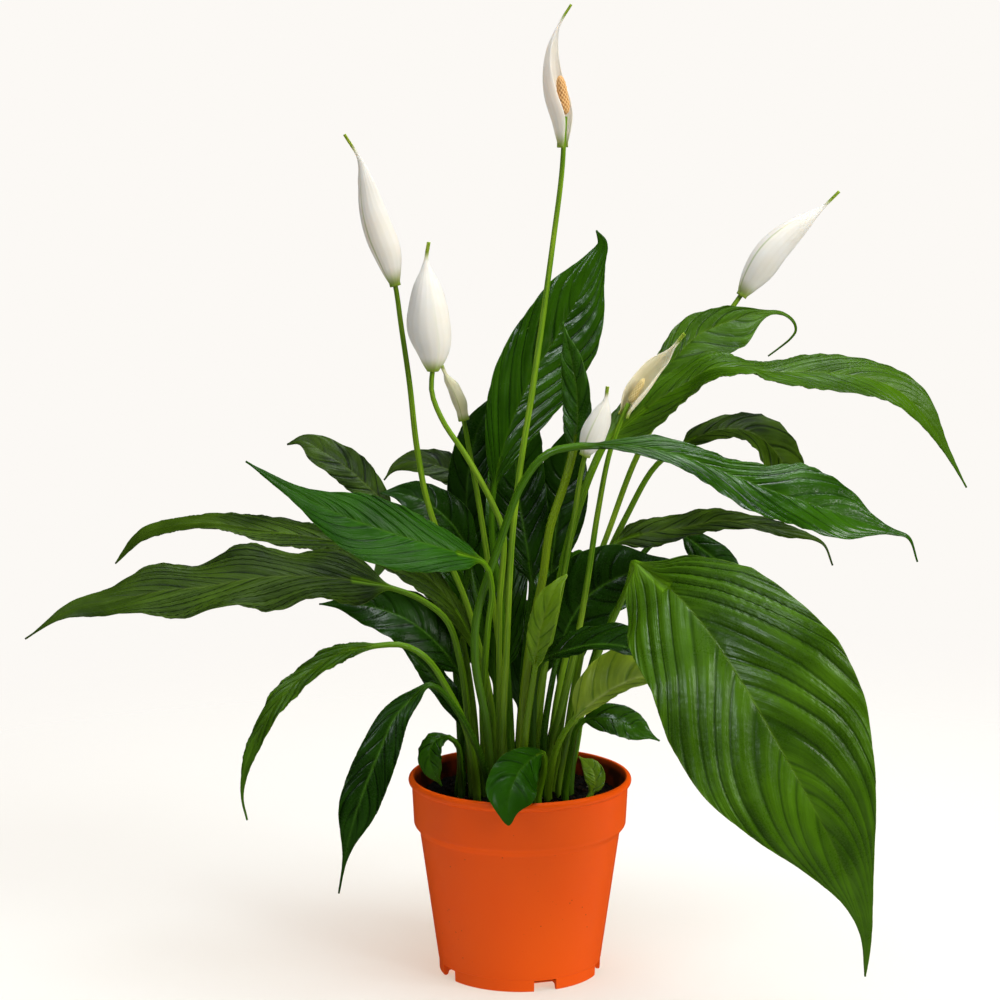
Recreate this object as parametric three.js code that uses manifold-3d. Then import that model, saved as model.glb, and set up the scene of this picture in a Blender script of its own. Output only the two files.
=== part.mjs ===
// A peace lily in a plastic nursery pot. Millimetres, +Z up. The pot stands on z = 0 with its axis on
// x = y = 0, and the plant's front is towards -Y.
//
// The plant is described as it is seen from its front. Each point of a stem or a midrib is
// [across, up, depth]: where the point is seen on the plane y = 0 from an eye in front of the plant, and its
// true distance behind (+) or in front of (-) that plane. place() turns it into a point in space.

import * as THREE from "three";
import { mergeVertices } from "three/addons/utils/BufferGeometryUtils.js";
import Module from "manifold-3d";

const wasm = await Module();
wasm.setup();

// ---- Driving dimensions ---------------------------------------------------------------------------------

const EYE = new THREE.Vector3(-10.7, -1600, 540);

const POT = {
  height: 107.5,
  lipRadius: 60,
  lipHeight: 4,
  bandTop: 58.1, // outer radius just below the lip
  bandBottom: 57,
  bandBottomZ: 81.5,
  bodyTop: 53.9,
  bodyTopZ: 77.5,
  footRadius: 43.5,
  footLineZ: 6.7, // a fine step marks the foot ring
  footStep: 0.5,
  wall: 1.3,
  footWall: 3,
  floorUnder: 2.5, // the floor is raised by this much inside the foot ring
  floorTop: 4.3,
  padRadius: 16, // flat pad in the middle of the underside that touches the ground
  sides: 56,
};
const NOTCH = { width: 12.4, height: 6, depth: 9, azimuths: [18, -61, 76, 128, 180, -128] };

const SOIL = { top: 95, crown: 3.5, crownRadius: 40, crumb: 1.1, gap: 0.35, rings: 6, sides: 36 };
const ROOT_DEPTH = 9; // how far the stems reach into the soil
const ROOT_RISE = 6; // how far they stand straight above it
const HOLE = { gap: 0.65, sides: 6 };

const LEAF = {
  thickness: 1.0,
  tipThickness: 0.8,
  rib: 1.5,
  merge: 0.08, // share of the blade over which the round petiole flattens, unless the leaf has its own
  tipHalfWidth: 0.5,
  step: 16, // length of blade between two rings
  shape: [0.8, 1.05],
  tail: [0.72, 0.95, 0.5],
};
const PETIOLE = { root: 2.3, top: 1.5, step: 30 }; // step: length between two rings

const STALK = { radii: [2.1, 1.6, 1.6, 1.25], sides: 6, step: 20 };
const SPATHE = { thickness: 0.8, collar: 2.75, tipRadius: 0.9, steps: 10, shape: [0.9, 1.3] };
const SPADIX = { rows: 9, sides: 8 };

// ---- Colours --------------------------------------------------------------------------------------------

const COLOURS = {
  pot: 0xd9551a,
  soil: 0x1d1410,
  bright: 0x2f7a22,
  green: 0x235f1d,
  dark: 0x173f16,
  olive: 0x4a5f2a,
  stalk: 0x5d9428,
  spathe: 0xf0ead8,
  spadix: 0xdba768,
};

// ---- Leaves ---------------------------------------------------------------------------------------------
//
// root: where the petiole leaves the soil [x, y]. stem: points of the petiole. blade: points of the midrib,
// from the blade's base to its tip. width: the blade's full width. face: how far the upper face is turned
// about the midrib away from the eye, in degrees, from base to tip. fold: how far each half is lifted from
// flat, in degrees. wave: height, number and phase of the waves of the margin. curl: how far the margins
// drop, as a share of the half width. halves: shares of the half width on the two sides of the midrib, or how
// they run from base to tip. shape and tail: see outline(). step and merge: see LEAF. fine: two more rows of
// points across. up: the upper face is measured from the sky and not from the eye.

const LEAVES = {
  leaf_right_large: {
    root: [21, -4], colour: "bright", width: 97, fine: true, shape: [0.45, 0.6], merge: 0.035,
    halves: [[0, 0.55, 0.88, 0.96, 1.06, 1.04, 0.98, 1, 1.07, 1.14, 1.1],
      [0.6, 0.88, 0.88, 0.87, 0.96, 0.96, 0.93, 0.95, 0.94, 0.75, 0.7]],
    tail: [0.5, 0.97, 0.12],
    stem: [[30, 140, 2], [44, 180, -4], [56, 208, -22], [59, 219, -52]],
    blade: [[61, 223.5, -70], [72, 215.5, -84], [85, 204.5, -104], [104, 181, -125], [122, 153, -138],
      [138, 125, -146], [155, 95, -150], [170, 66, -150], [182, 38, -148], [187.5, 16, -147],
      [188, -6, -147]],
    face: [-4, -6, -6, 0], fold: 9, wave: [3, 3, 1.0], curl: 0.12,
  },
  leaf_right_glossy: {
    root: [-15, -13], colour: "green", width: 39, fine: true, petiole: [2.3, 2], shape: [1.5, 1.4],
    halves: [[1, 1, 1.1, 0.6, 0.42, 0.72, 1.22, 1.15, 1, 1, 1],
      [1, 1, 0.8, 0.75, 0.8, 0.95, 1, 1.1, 1.1, 1, 1]],
    tail: [0.74, 0.9, 0.3],
    stem: [[-18, 135, -20], [-24, 170, -28], [-23, 195, -34], [-11, 234, -44], [1, 266, -50],
      [14, 282, -52]],
    blade: [[30, 286, -52], [60, 286, -52], [85, 281, -54], [110, 271.5, -57], [135, 261.5, -60],
      [160, 253, -60], [182, 245, -59], [198, 240, -58], [206, 237, -57], [211, 224, -56]],
    face: [-58, -42, -36, -30], fold: 12, wave: [1.2, 3, 0.4], curl: 0.1,
  },
  leaf_right_upper: {
    root: [8, 10.5], colour: "green", width: 35, fine: true, petiole: [2.3, 2], shape: [0.7, 1.0],
    halves: [[0.35, 0.5, 0.72, 0.55, 0.28, 0.25], [0.9, 1.1, 1.0, 1.2, 0.9, 0.9]], tail: [0.52, 0.72, 0.16],
    stem: [[12, 160, 14], [21, 215, 18], [34, 263, 20], [49, 296, 20]],
    blade: [[57, 306, 20], [70, 321, 22], [82, 334, 24], [93, 345, 27], [106, 351, 30], [118, 355, 33],
      [127, 357, 35], [135, 357.5, 36], [140, 355.5, 36], [143.5, 352, 36], [144.5, 347.5, 36],
      [142, 343.5, 35], [136, 338.5, 35], [130, 334, 34]],
    step: 9, face: [-20, -20, -25, -40, -50], fold: 10, wave: [1.5, 3, 2.2], curl: 0.1,
  },
  leaf_right_twisted: {
    root: [3, 2.5], colour: "bright", width: 29, fine: true, petiole: [2.3, 2], shape: [0.4, 0.9],
    halves: [[1, 1, 1, 1.1, 1, 0.95, 1.05, 1.3, 1.5, 1.1, 1],
      [1.2, 1.2, 1.1, 1.3, 1.6, 1.35, 1.15, 1.2, 1.1, 1, 1]],
    merge: 0.04,
    stem: [[8, 150, -1], [18, 200, -4], [30, 250, -4], [39, 276, -2]],
    blade: [[45, 288, 0], [56, 298, 0], [70, 309, -2], [86, 319, -4], [100, 327, -6], [114, 328, -7],
      [132, 325.5, -6], [152, 325.5, -4], [172, 324, -3], [188, 320.5, -1], [201, 314, 0], [213, 302, 1],
      [225, 283.5, 2], [236, 264, 2]],
    face: [-20, -35, -58, -82, -52, -42, -37, -34, -34], fold: 12, wave: [1.2, 4, 0], curl: 0.1,
  },
  leaf_right_arching: {
    root: [23, 12], colour: "green", width: 33, fine: true, shape: [0.7, 0.8],
    stem: [[30, 160, 26], [43, 218, 30], [57, 250, 33], [71, 275, 35]],
    blade: [[84, 285.5, 36], [95, 291.5, 36], [107, 295, 36], [118, 294.5, 36], [128, 289.5, 36],
      [136, 281, 36], [142, 270, 36], [146, 258, 36], [148, 246, 36]],
    face: [-60, -62, -55, -40, -40], fold: 14, wave: [1.6, 2, 1.2], curl: 0.1,
  },
  leaf_right_wavy: {
    root: [18.5, 4], colour: "olive", width: 18, fine: true, shape: [0.5, 1.2],
    halves: [1, [1, 1.1, 0.75, 0.75, 1, 1]],
    stem: [[24, 150, 10], [34, 190, 17], [42, 220, 20]],
    blade: [[50, 233, 18], [60, 238, 18], [72, 240.5, 17], [84, 242, 16], [94, 244, 14], [105, 246, 12],
      [116, 245.5, 10], [128, 243.5, 8], [140, 240.5, 6], [152, 238, 4], [161, 233.5, 3], [166, 222, 2]],
    face: [-20, -25, -45, -40, -40, -30], fold: 10, wave: [1.6, 3, 0.6], curl: 0.1,
  },
  leaf_right_small: {
    root: [27, 3], colour: "dark", width: 19,
    stem: [[31, 135, 12], [42, 180, 24], [58, 218, 38], [73, 236, 46]],
    blade: [[85, 239, 48], [95, 232, 46], [105, 224, 44], [113, 214, 42], [119, 203, 40]],
    face: [-20, -20, -20], fold: 10, wave: [1.2, 2, 0], curl: 0.1,
  },
  leaf_right_dark: {
    root: [12.5, -7.5], colour: "dark", width: 42, fine: true, shape: [0.5, 0.7],
    halves: [[1.15, 1.2, 1.1, 1, 1], [1, 0.95, 0.7, 0.55, 0.6]],
    stem: [[13, 130, -8], [16, 152, -4]],
    blade: [[20, 172, 3], [26, 190, 5], [36, 205, 7], [49, 214, 8], [64, 220, 8], [80, 225, 8]],
    face: [20, 10, -10], fold: 8, wave: [1.6, 2, 2], curl: 0.1,
  },
  leaf_right_low: {
    root: [6, -13.5], colour: "dark", width: 30, fine: true, halves: [1, 0.35],
    stem: [[7, 135, -18], [8, 158, -24]],
    blade: [[12, 170, -30], [26, 176, -38], [42, 179, -46], [58, 177, -53], [74, 170, -58], [88, 158, -62]],
    face: [-45, -45, -50], fold: 10, wave: [1.6, 2, 0.5], curl: 0.1,
  },
  leaf_right_pale: {
    root: [15, -14], colour: "olive", width: 40, fine: true, halves: [1, 0.24],
    stem: [[19, 120, -18], [24, 131, -22]],
    blade: [[29, 138, -25], [40, 148, -30], [52, 156, -36], [64, 161, -42], [80, 163, -48], [96, 157, -52]],
    face: [-15, -20, -30], fold: 6, wave: [1.2, 2, 0.5], curl: 0.1,
  },
  leaf_right_rim: {
    root: [24, -12], colour: "green", width: 19,
    stem: [[28, 122, -14], [30, 132, -18]],
    blade: [[34, 137, -20], [46, 139, -24], [60, 134, -28], [75, 126, -30]],
    face: [-24, -26, -25], fold: 10, wave: [0.8, 2, 0], curl: 0.1,
  },
  leaf_inside_rim: {
    root: [35.5, -30], colour: "bright", width: 11,
    stem: [],
    blade: [[38.5, 97, -30], [40.5, 103, -30], [39, 110, -29], [31.5, 117.5, -28]],
    face: [10, 0, 0], fold: 8, wave: [0.3, 1, 0], curl: 0.1,
  },
  leaf_front_rim: {
    root: [9.5, -21.5], colour: "green", width: 27, shape: [0.9, 0.6],
    stem: [[13, 110, -24]],
    blade: [[12.5, 119, -29], [6, 116, -38], [-1, 108, -50], [-5, 98, -60.5], [-6.5, 88, -66], [-6, 79, -67]],
    face: [0, -8, -5], fold: 6, wave: [0.8, 2, 0], curl: 0.12,
  },
  leaf_left_glossy: {
    root: [-18, -4.5], colour: "bright", width: 43, fine: true, halves: [0.95, 0.76],
    tail: [0.5, 0.85, 0.35],
    stem: [[-19.5, 150, -14], [-17, 190, -32], [-15, 210, -43]],
    blade: [[-19, 223, -48], [-34, 229, -54], [-54, 235, -60], [-76, 242, -66], [-98, 250.5, -72],
      [-120, 262, -76], [-145, 278, -80]],
    face: [38, 25, 20], fold: 10, wave: [1.2, 2, 0.5], curl: 0.1,
  },
  leaf_left_long: {
    root: [-25.5, -5.5], colour: "olive", width: 43, fine: true, shape: [0.62, 1.15],
    stem: [[-28, 140, -10], [-32, 170, -14], [-39, 192, -18], [-52, 203, -20]],
    blade: [[-66, 209, -22], [-90, 214, -26], [-115, 216, -30], [-140, 215, -34], [-165, 210.5, -38],
      [-190, 208, -42], [-215, 203, -44], [-240, 197.5, -46], [-264, 182, -46]],
    face: [42, 45, 42, 40], fold: 8, wave: [4.8, 4, 2.43], curl: 0.1,
  },
  leaf_left_behind: {
    root: [-19, 5], colour: "olive", width: 30, fine: true, shape: [0.35, 0.6], tail: [0.85, 1, 0.6],
    halves: [1, [0.5, 0.6, 1, 1, 1, 1, 1]],
    stem: [[-20, 140, 12]],
    blade: [[-23, 172, 16], [-33, 196, 20], [-52, 218, 24], [-76, 231.5, 26], [-98, 235, 28],
      [-120, 238.5, 30], [-142, 241.5, 32], [-162, 244.5, 34], [-182, 243.5, 36], [-200, 238.5, 38],
      [-215, 223, 40]],
    face: [50, 50, 66, 60], fold: 12, wave: [1.8, 3, 0], curl: 0.1,
  },
  leaf_left_upper: {
    root: [-23, 11], colour: "dark", width: 21, shape: [0.7, 0.7], tail: [0.75, 0.95, 0.4],
    stem: [[-26, 150, 22], [-36, 200, 34], [-54, 232, 42]],
    blade: [[-68, 252, 46], [-80, 264, 50], [-92, 275, 54], [-104, 283, 58], [-115, 289, 60],
      [-123, 287, 61]],
    face: [20, 22, 30], fold: 12, wave: [1.2, 2, 0.8], curl: 0.1,
  },
  leaf_left_olive: {
    root: [-8, 12], colour: "olive", width: 20,
    stem: [[-8, 160, 24], [-8, 215, 38], [-8, 248, 46]],
    blade: [[-14, 260, 50], [-27, 268, 52], [-42, 275, 54], [-56, 278, 56], [-66, 275, 57], [-72, 268, 57]],
    face: [50, 35, 30], fold: 12, wave: [1.2, 2, 0], curl: 0.1,
  },
  leaf_left_upright: {
    root: [-15, 11.5], colour: "dark", width: 22, fine: true, shape: [0.5, 0.6],
    stem: [[-18, 150, 20], [-22, 196, 28]],
    blade: [[-27, 222, 38], [-28, 244, 42], [-28, 266, 43], [-25, 286, 43], [-19, 303, 44], [-9, 316, 46]],
    face: [-10, 0, 10], fold: 12, wave: [1.5, 2, 1], curl: 0.1,
  },
  leaf_left_low: {
    root: [-26, 3], colour: "dark", width: 34, fine: true,
    stem: [[-28, 125, 4], [-29, 145, 6]],
    blade: [[-32, 162, 8], [-44, 179, 8], [-58, 191, 8], [-74, 198, 8], [-90, 201, 8], [-107, 201, 8]],
    face: [28, 32, 30], fold: 10, wave: [1.6, 2, 0.4], curl: 0.1,
  },
  leaf_left_ragged: {
    root: [-33, -1], colour: "dark", width: 13,
    stem: [[-32, 110, -2], [-32, 122, -3]],
    blade: [[-31, 134, -4], [-36, 147, -5], [-45, 160, -6], [-56, 172, -7], [-66, 181, -8]],
    face: [10, 12, 10], fold: 12, wave: [2.2, 3, 0.5], curl: 0.1,
  },
  leaf_left_narrow: {
    root: [-23, -14], colour: "bright", width: 11.5, shape: [0.6, 1.2],
    stem: [[-28, 130, -26], [-38, 153, -36], [-50, 171.5, -42], [-62, 178.5, -44]],
    blade: [[-75, 178.5, -46], [-94, 175, -48], [-110, 166, -50], [-126, 152, -52], [-139.5, 131, -54],
      [-147.5, 110, -55], [-149.5, 95, -55], [-147, 82, -55]],
    face: [30, 25, 20, 10], fold: 12, wave: [1.6, 4, 0.5], curl: 0.1,
  },
  leaf_left_drooping: {
    root: [-15.5, -21], colour: "dark", width: 22, shape: [0.9, 0.9], tail: [0.6, 0.9, 0.15],
    stem: [[-22, 120, -32], [-34, 143, -44]],
    blade: [[-48, 157, -54], [-57, 150, -58], [-67, 139, -62], [-75, 121, -66], [-83, 101, -68],
      [-90, 80, -69], [-94.5, 60, -70], [-98, 41, -70]],
    face: [8, 0, -4, 0], fold: 12, wave: [1.0, 3, 0], curl: 0.08,
  },
  leaf_left_rim: {
    root: [-31, -9], colour: "green", width: 15,
    stem: [[-32, 112, -12], [-33, 123, -14]],
    blade: [[-38, 128, -16], [-45.5, 126, -20], [-48.5, 118, -23], [-46, 108, -25], [-42, 101, -26]],
    face: [50, 30, 10], fold: 8, wave: [0.5, 1, 0], curl: 0.1,
  },
  leaf_centre_large: {
    root: [-4, -3.5], colour: "green", width: 43, fine: true, shape: [1.0, 0.8],
    halves: [[1, 1.05, 1.1, 1, 0.95, 0.9], [1, 1.05, 1.12, 1.08, 0.8, 0.7]],
    stem: [[-6, 150, 2], [-10, 200, 6], [-15, 240, 8]],
    blade: [[-14, 262, 8], [-9, 285, 8], [-1, 308, 10], [9, 328, 12], [20.5, 347, 13], [31, 367, 14],
      [39, 383, 15], [43, 393, 15], [39.5, 400, 14]],
    face: [18, 15, 10, 0], fold: 12, wave: [1.0, 3, 0.3], curl: 0.1,
  },
  leaf_centre_upright: {
    root: [-1, -12], colour: "bright", width: 16.5, petiole: [2.3, 2.2], shape: [0.5, 0.9],
    stem: [[2, 150, -16], [7, 190, -20], [12, 215, -22], [16, 243, -22], [24, 268, -20]],
    blade: [[28, 284, -18], [30, 298, -16], [30, 314, -14], [27, 332, -12], [22, 352, -10]],
    face: [-20, -20, -10], fold: 16, wave: [0.6, 2, 0], curl: 0.1,
  },
  leaf_centre_short: {
    root: [1, -21], colour: "bright", width: 15, shape: [0.6, 0.5],
    stem: [[3, 130, -26], [6, 152, -30]],
    blade: [[8, 166, -33], [10, 182, -36], [14, 198, -38], [20, 211, -39], [25, 217, -39]],
    face: [-10, -25, -30], fold: 14, wave: [0.5, 1, 0], curl: 0.1,
  },
  leaf_centre_dark: {
    root: [0, 11], colour: "dark", width: 31, fine: true, shape: [0.6, 0.6],
    stem: [[1, 150, 18], [4, 190, 26]],
    blade: [[6, 212, 30], [3, 236, 33], [-1, 260, 36], [-2, 282, 38], [2, 302, 40], [10, 316, 42]],
    face: [10, 10, 5], fold: 10, wave: [1.5, 2, 1], curl: 0.1,
  },
  leaf_left_middle: {
    root: [-31, 12], colour: "dark", width: 25, fine: true, shape: [0.6, 0.8],
    stem: [[-33, 150, 18], [-34.5, 172, 22.5], [-31.5, 200, 28.5]],
    blade: [[-27, 226, 30], [-33, 240, 29], [-43, 251, 28], [-54, 258, 28], [-64, 261, 28], [-74, 261, 28]],
    face: [25, 22, 20], fold: 12, wave: [1.2, 2, 1.2], curl: 0.1,
  },
  leaf_centre_behind: {
    root: [20, 21], colour: "dark", width: 30,
    stem: [[22, 150, 29], [18, 195, 37]],
    blade: [[17, 218, 42], [19, 240, 44], [22, 262, 46], [25, 284, 48], [30, 304, 50]],
    face: [0, 0, 0], fold: 10, wave: [1.2, 2, 0.4], curl: 0.1,
  },
  leaf_back_1: {
    root: [-19, 19], colour: "green", width: 34, up: true, shape: [0.45, 0.7],
    stem: [[-20, 135, 30]],
    blade: [[-21, 160, 42], [-24, 190, 58], [-29, 213, 76], [-37, 227, 98], [-47, 234, 124], [-58, 234, 150],
      [-70, 226, 178], [-80, 211, 204]],
    face: [10, 5, 0], fold: 8, wave: [2, 3, 0], curl: 0.1,
  },
  leaf_back_2: {
    root: [-11, 20], colour: "green", width: 38, fine: true, up: true, shape: [0.4, 0.6],
    stem: [[-12, 130, 30]],
    blade: [[-13, 155, 36], [-13, 195, 44], [-13, 228, 56], [-14, 253, 72], [-14, 270, 92], [-14, 276, 116],
      [-14, 272, 144], [-14, 258, 172], [-13, 234, 198]],
    face: [0, 0, 5], fold: 8, wave: [2, 3, 1], curl: 0.1,
  },
  leaf_back_3: {
    root: [-3, 19.5], colour: "dark", width: 30, up: true, shape: [0.45, 0.7],
    stem: [[-1, 125, 34]],
    blade: [[0, 142, 42], [3, 170, 56], [6, 190, 74], [9, 200, 100], [13, 200, 128], [17, 186, 154],
      [20, 166, 172]],
    face: [0, 0, 0], fold: 8, wave: [1.5, 2, 0], curl: 0.1,
  },
  leaf_back_4: {
    root: [5, 19], colour: "green", width: 32, up: true, shape: [0.45, 0.7],
    stem: [[8, 132, 28]],
    blade: [[11, 158, 37], [15, 188, 46], [20, 210, 60], [27, 222, 82], [37, 227, 108], [48, 225, 132],
      [60, 216, 156], [72, 200, 176]],
    face: [0, 0, 0], fold: 8, wave: [2, 3, 2], curl: 0.1,
  },
  leaf_back_5: {
    root: [13, 20.5], colour: "dark", width: 28, up: true, shape: [0.6, 0.8],
    stem: [[18, 135, 36]],
    blade: [[24, 158, 46], [30, 180, 58], [40, 195, 72], [55, 203, 94], [72, 202, 116], [90, 192, 136],
      [105, 175, 150]],
    face: [-10, -5, 0], fold: 8, wave: [1.8, 2, 0], curl: 0.1,
  },
  leaf_back_6: {
    root: [27, 17], colour: "olive", width: 20, up: true,
    stem: [[30, 122, 30], [34, 146, 44]],
    blade: [[39, 160, 60], [45, 167, 78], [51, 169, 96], [57, 166, 114], [62, 158, 130]],
    face: [0, 0, 0], fold: 10, wave: [1.2, 2, 0], curl: 0.1,
  },
};

// ---- Blooms ---------------------------------------------------------------------------------------------
//
// stalk: points of the stalk above the root. spathe: the line that the hood is wrapped round, from its collar
// to its tip. spadix: the ends of the spike. width: the hood's width across. face: where the hood opens.

const BLOOMS = {
  bloom_top: {
    root: [-8, -16.5], width: 13.5, face: 65, spadix: [[23.2, 460, -21], [20.2, 480, -21]], spike: 3.1,
    stalk: [[-9, 130, -19], [-7, 180, -25], [-5, 225, -33], [-3, 250, -37], [1, 282, -35], [6.2, 315, -31],
      [11.8, 355, -26], [17.1, 395, -22], [21.4, 430, -20], [23, 459, -20.6]],
    spathe: [[22, 443, -20], [22, 458, -20], [19, 472, -20], [17.8, 484, -20], [18.4, 496, -20],
      [20.6, 506, -20], [26.5, 516, -20]],
  },
  bloom_upper_left: {
    root: [-12, 0.5], width: 16, face: 130, spadix: [[-68, 384, 0], [-76.5, 410, 0]], spike: 2.6,
    stalk: [[-16, 150, 0], [-28, 200, 0], [-40, 230, 0], [-49, 256, 0], [-54.5, 285, 0], [-58.3, 320, 0],
      [-62.5, 350, 0], [-65.2, 370, 0], [-68.2, 383, 0]],
    spathe: [[-65.2, 371, 0], [-68.8, 386, 0], [-73, 399, 0], [-76.5, 412, 0], [-78.8, 424, 0],
      [-82, 435, 0], [-91, 450, 0]],
  },
  bloom_left: {
    root: [-10.5, -8], width: 22, face: 200, spadix: [[-45.6, 338, -14], [-48.5, 364, -14]], spike: 2.6,
    stalk: [[-11, 150, -14], [-11, 200, -20], [-9, 240, -22], [-15, 256, -22], [-28, 280, -20],
      [-41, 300, -17], [-46.6, 315, -15], [-46, 328, -14], [-45.5, 337, -14]],
    spathe: [[-46, 326, -14], [-46, 338, -14], [-48, 350, -14], [-49, 363, -14], [-49.4, 375, -14],
      [-49.4, 385, -14], [-48, 394, -14]],
  },
  bloom_withered: {
    root: [-5, 4], width: 7, face: 165, spadix: [[-31.6, 309, 22], [-36, 319, 22]], spike: 1.5,
    stalk: [[-8, 150, 10], [-14, 200, 16], [-21, 250, 20], [-28, 290, 22], [-31.2, 308, 22]],
    spathe: [[-29.6, 300, 22], [-32, 310, 22], [-35, 317, 22], [-38.5, 323, 22], [-42, 331, 22]],
  },
  bloom_right: {
    root: [15.5, 12], width: 17, face: 135, spadix: [[120.6, 373.6, 44], [135.6, 394.6, 45]], spike: 2.6,
    stalk: [[20, 150, 22], [32, 200, 36], [46, 238, 44], [60, 277, 47], [72, 301, 46], [88, 328, 44],
      [109, 357, 43], [120, 373, 44]],
    spathe: [[115.5, 365.5, 43], [122.5, 376.5, 44], [130.5, 387.5, 45], [139.5, 396.5, 46], [149, 404, 46],
      [158, 412, 46], [166, 420, 46]],
  },
  bloom_centre: {
    root: [4, -5.5], width: 13, face: 160, spadix: [[37, 289.5, -27], [43, 303, -27]], spike: 2.0,
    stalk: [[10, 150, -6], [20, 200, -10], [28, 245, -18], [33, 276, -26], [36.6, 288.6, -27]],
    spathe: [[34, 281, -26.5], [37.6, 290, -27], [41.5, 299, -27], [44.5, 307, -27], [46, 318, -27]],
  },
  bloom_centre_right: {
    root: [10.5, 2], width: 11, face: -20, spadix: [[57.5, 309.5, -16], [65, 322, -16]], spike: 2.1,
    stalk: [[22, 145, -6], [31, 185, -14], [36, 215, -18], [41, 250, -18], [47, 282, -17], [53, 300, -16],
      [57, 309, -16]],
    spathe: [[54, 302, -16], [58, 311, -16], [63.5, 320, -16], [70, 328, -16], [77, 335, -16],
      [86, 346, -16]],
  },
};

// ---- Small helpers --------------------------------------------------------------------------------------

// The point in space that is seen from the eye at [across, up] on the plane y = 0 and lies at this depth.
function place([across, up, depth]) {
  const k = 1 - depth / EYE.y;
  return new THREE.Vector3(EYE.x + (across - EYE.x) * k, depth, EYE.z + (up - EYE.z) * k);
}

const smooth = THREE.MathUtils.smoothstep;
const radians = THREE.MathUtils.degToRad;

// A value that runs evenly through a list of values while t runs from 0 to 1, or stays at a single value.
function along(values, t) {
  if (!Array.isArray(values)) return values;
  const x = t * (values.length - 1);
  const i = Math.min(Math.floor(x), values.length - 2);
  return THREE.MathUtils.lerp(values[i], values[i + 1], x - i);
}

// A smooth line through the points: its length, the distance of a point of the list along it, and the place
// and direction at a distance.
function lineThrough(points) {
  const curve = new THREE.CatmullRomCurve3(points, false, "centripetal");
  curve.arcLengthDivisions = 400;
  const lengths = curve.getLengths(400);
  const length = lengths[400];
  const distanceOf = (i) => {
    const x = (400 * i) / (points.length - 1);
    const low = Math.min(Math.floor(x), 399);
    return THREE.MathUtils.lerp(lengths[low], lengths[low + 1], x - low);
  };
  const at = (distance) => {
    const u = THREE.MathUtils.clamp(distance / length, 0, 1);
    return { point: curve.getPointAt(u), tangent: curve.getTangentAt(u) };
  };
  return { length, distanceOf, at };
}

// The straight foot of a stem, from its end in the soil to a little above the surface.
function footOf([x, y]) {
  return [-ROOT_DEPTH, 0, ROOT_RISE].map((rise) => new THREE.Vector3(x, y, SOIL.top + rise));
}

// The distances along a stem at which it has a ring: at both ends of its straight foot, then evenly.
function stemStops(line, end, step) {
  const footEnd = line.distanceOf(2);
  const steps = Math.max(3, Math.round((end - footEnd) / step));
  return [0, ...Array.from({ length: steps + 1 }, (_, i) => THREE.MathUtils.lerp(footEnd, end, i / steps))];
}

// The direction of the upper face, square to the tangent and turned about it by an angle: 0 looks at the eye,
// or at the sky if `up` is set.
function faceNormal(point, tangent, degrees, up) {
  const towards = up ? new THREE.Vector3(0, 0, 1) : EYE.clone().sub(point).normalize();
  const e1 = towards.addScaledVector(tangent, -towards.dot(tangent)).normalize();
  const e2 = tangent.clone().cross(e1);
  const a = radians(degrees);
  return e1.multiplyScalar(Math.cos(a)).addScaledVector(e2, Math.sin(a));
}

// A closed body from rings that all have the same number of points. Quads are split so that the upper and the
// lower face of a thin blade have the same diagonals.
function bodyOfRings(rings) {
  const n = rings[0].length;
  const half = n / 2;
  const triangles = [];
  const id = (ring, j) => ring * n + (((j % n) + n) % n);
  for (let i = 0; i + 1 < rings.length; i++)
    for (let j = 0; j < n; j++) {
      const [a, b, c, d] = [id(i, j), id(i, j + 1), id(i + 1, j + 1), id(i + 1, j)];
      if (j < half) triangles.push(a, b, c, a, c, d);
      else triangles.push(a, b, d, b, c, d);
    }
  const last = rings.length - 1;
  for (let j = 0; j < half - 1; j++) {
    const [p, q, r, s] = [j, j + 1, n - 2 - j, n - 1 - j];
    triangles.push(id(0, p), id(0, r), id(0, q), id(0, p), id(0, s), id(0, r));
    triangles.push(id(last, p), id(last, q), id(last, r), id(last, p), id(last, r), id(last, s));
  }
  const geometry = new THREE.BufferGeometry();
  geometry.setFromPoints(rings.flat());
  geometry.setIndex(triangles);
  return geometry;
}

// One ring: a round stem (merge 0) or a thin folded blade (merge 1), in the plane of side and normal. The
// ring runs over the top from the left margin to the right one, and back underneath.
function leafRing(frame, section) {
  const { point, side, normal } = frame;
  const { across, radius, merge, thickness, rib, profile } = section;
  const span = 90 - 90 / across.length;
  const at = (x, y) => point.clone().addScaledVector(side, x).addScaledVector(normal, y);
  const top = [];
  const bottom = [];
  for (const s of across) {
    const [x, y] = profile(s);
    const step = 0.02;
    const [xa, ya] = profile(Math.max(s - step, -1));
    const [xb, yb] = profile(Math.min(s + step, 1));
    const run = Math.hypot(xb - xa, yb - ya) || 1;
    const [nx, ny] = [-(yb - ya) / run, (xb - xa) / run];
    const under = thickness / 2 + (s === 0 ? rib : 0);
    const angle = radians(90 - s * span);
    const [cx, cy] = [radius * Math.cos(angle), radius * Math.sin(angle)];
    const mix = THREE.MathUtils.lerp;
    top.push(at(mix(cx, x + (nx * thickness) / 2, merge), mix(cy, y + (ny * thickness) / 2, merge)));
    bottom.unshift(at(mix(cx, x - nx * under, merge), mix(-cy, y - ny * under, merge)));
  }
  return [...top, ...bottom];
}

// ---- Leaves ---------------------------------------------------------------------------------------------

// Share of the greatest width at t: rises as t^p, falls as (1 - t)^q, and draws out to a fine tip: from one
// place to another along the blade it is brought down to a share of itself.
function outline(t, [p, q], [from, to, share]) {
  const peak = p / (p + q);
  const greatest = peak ** p * (1 - peak) ** q;
  return ((t ** p * (1 - t) ** q) / greatest) * (1 - (1 - share) * smooth(t, from, to));
}

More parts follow.
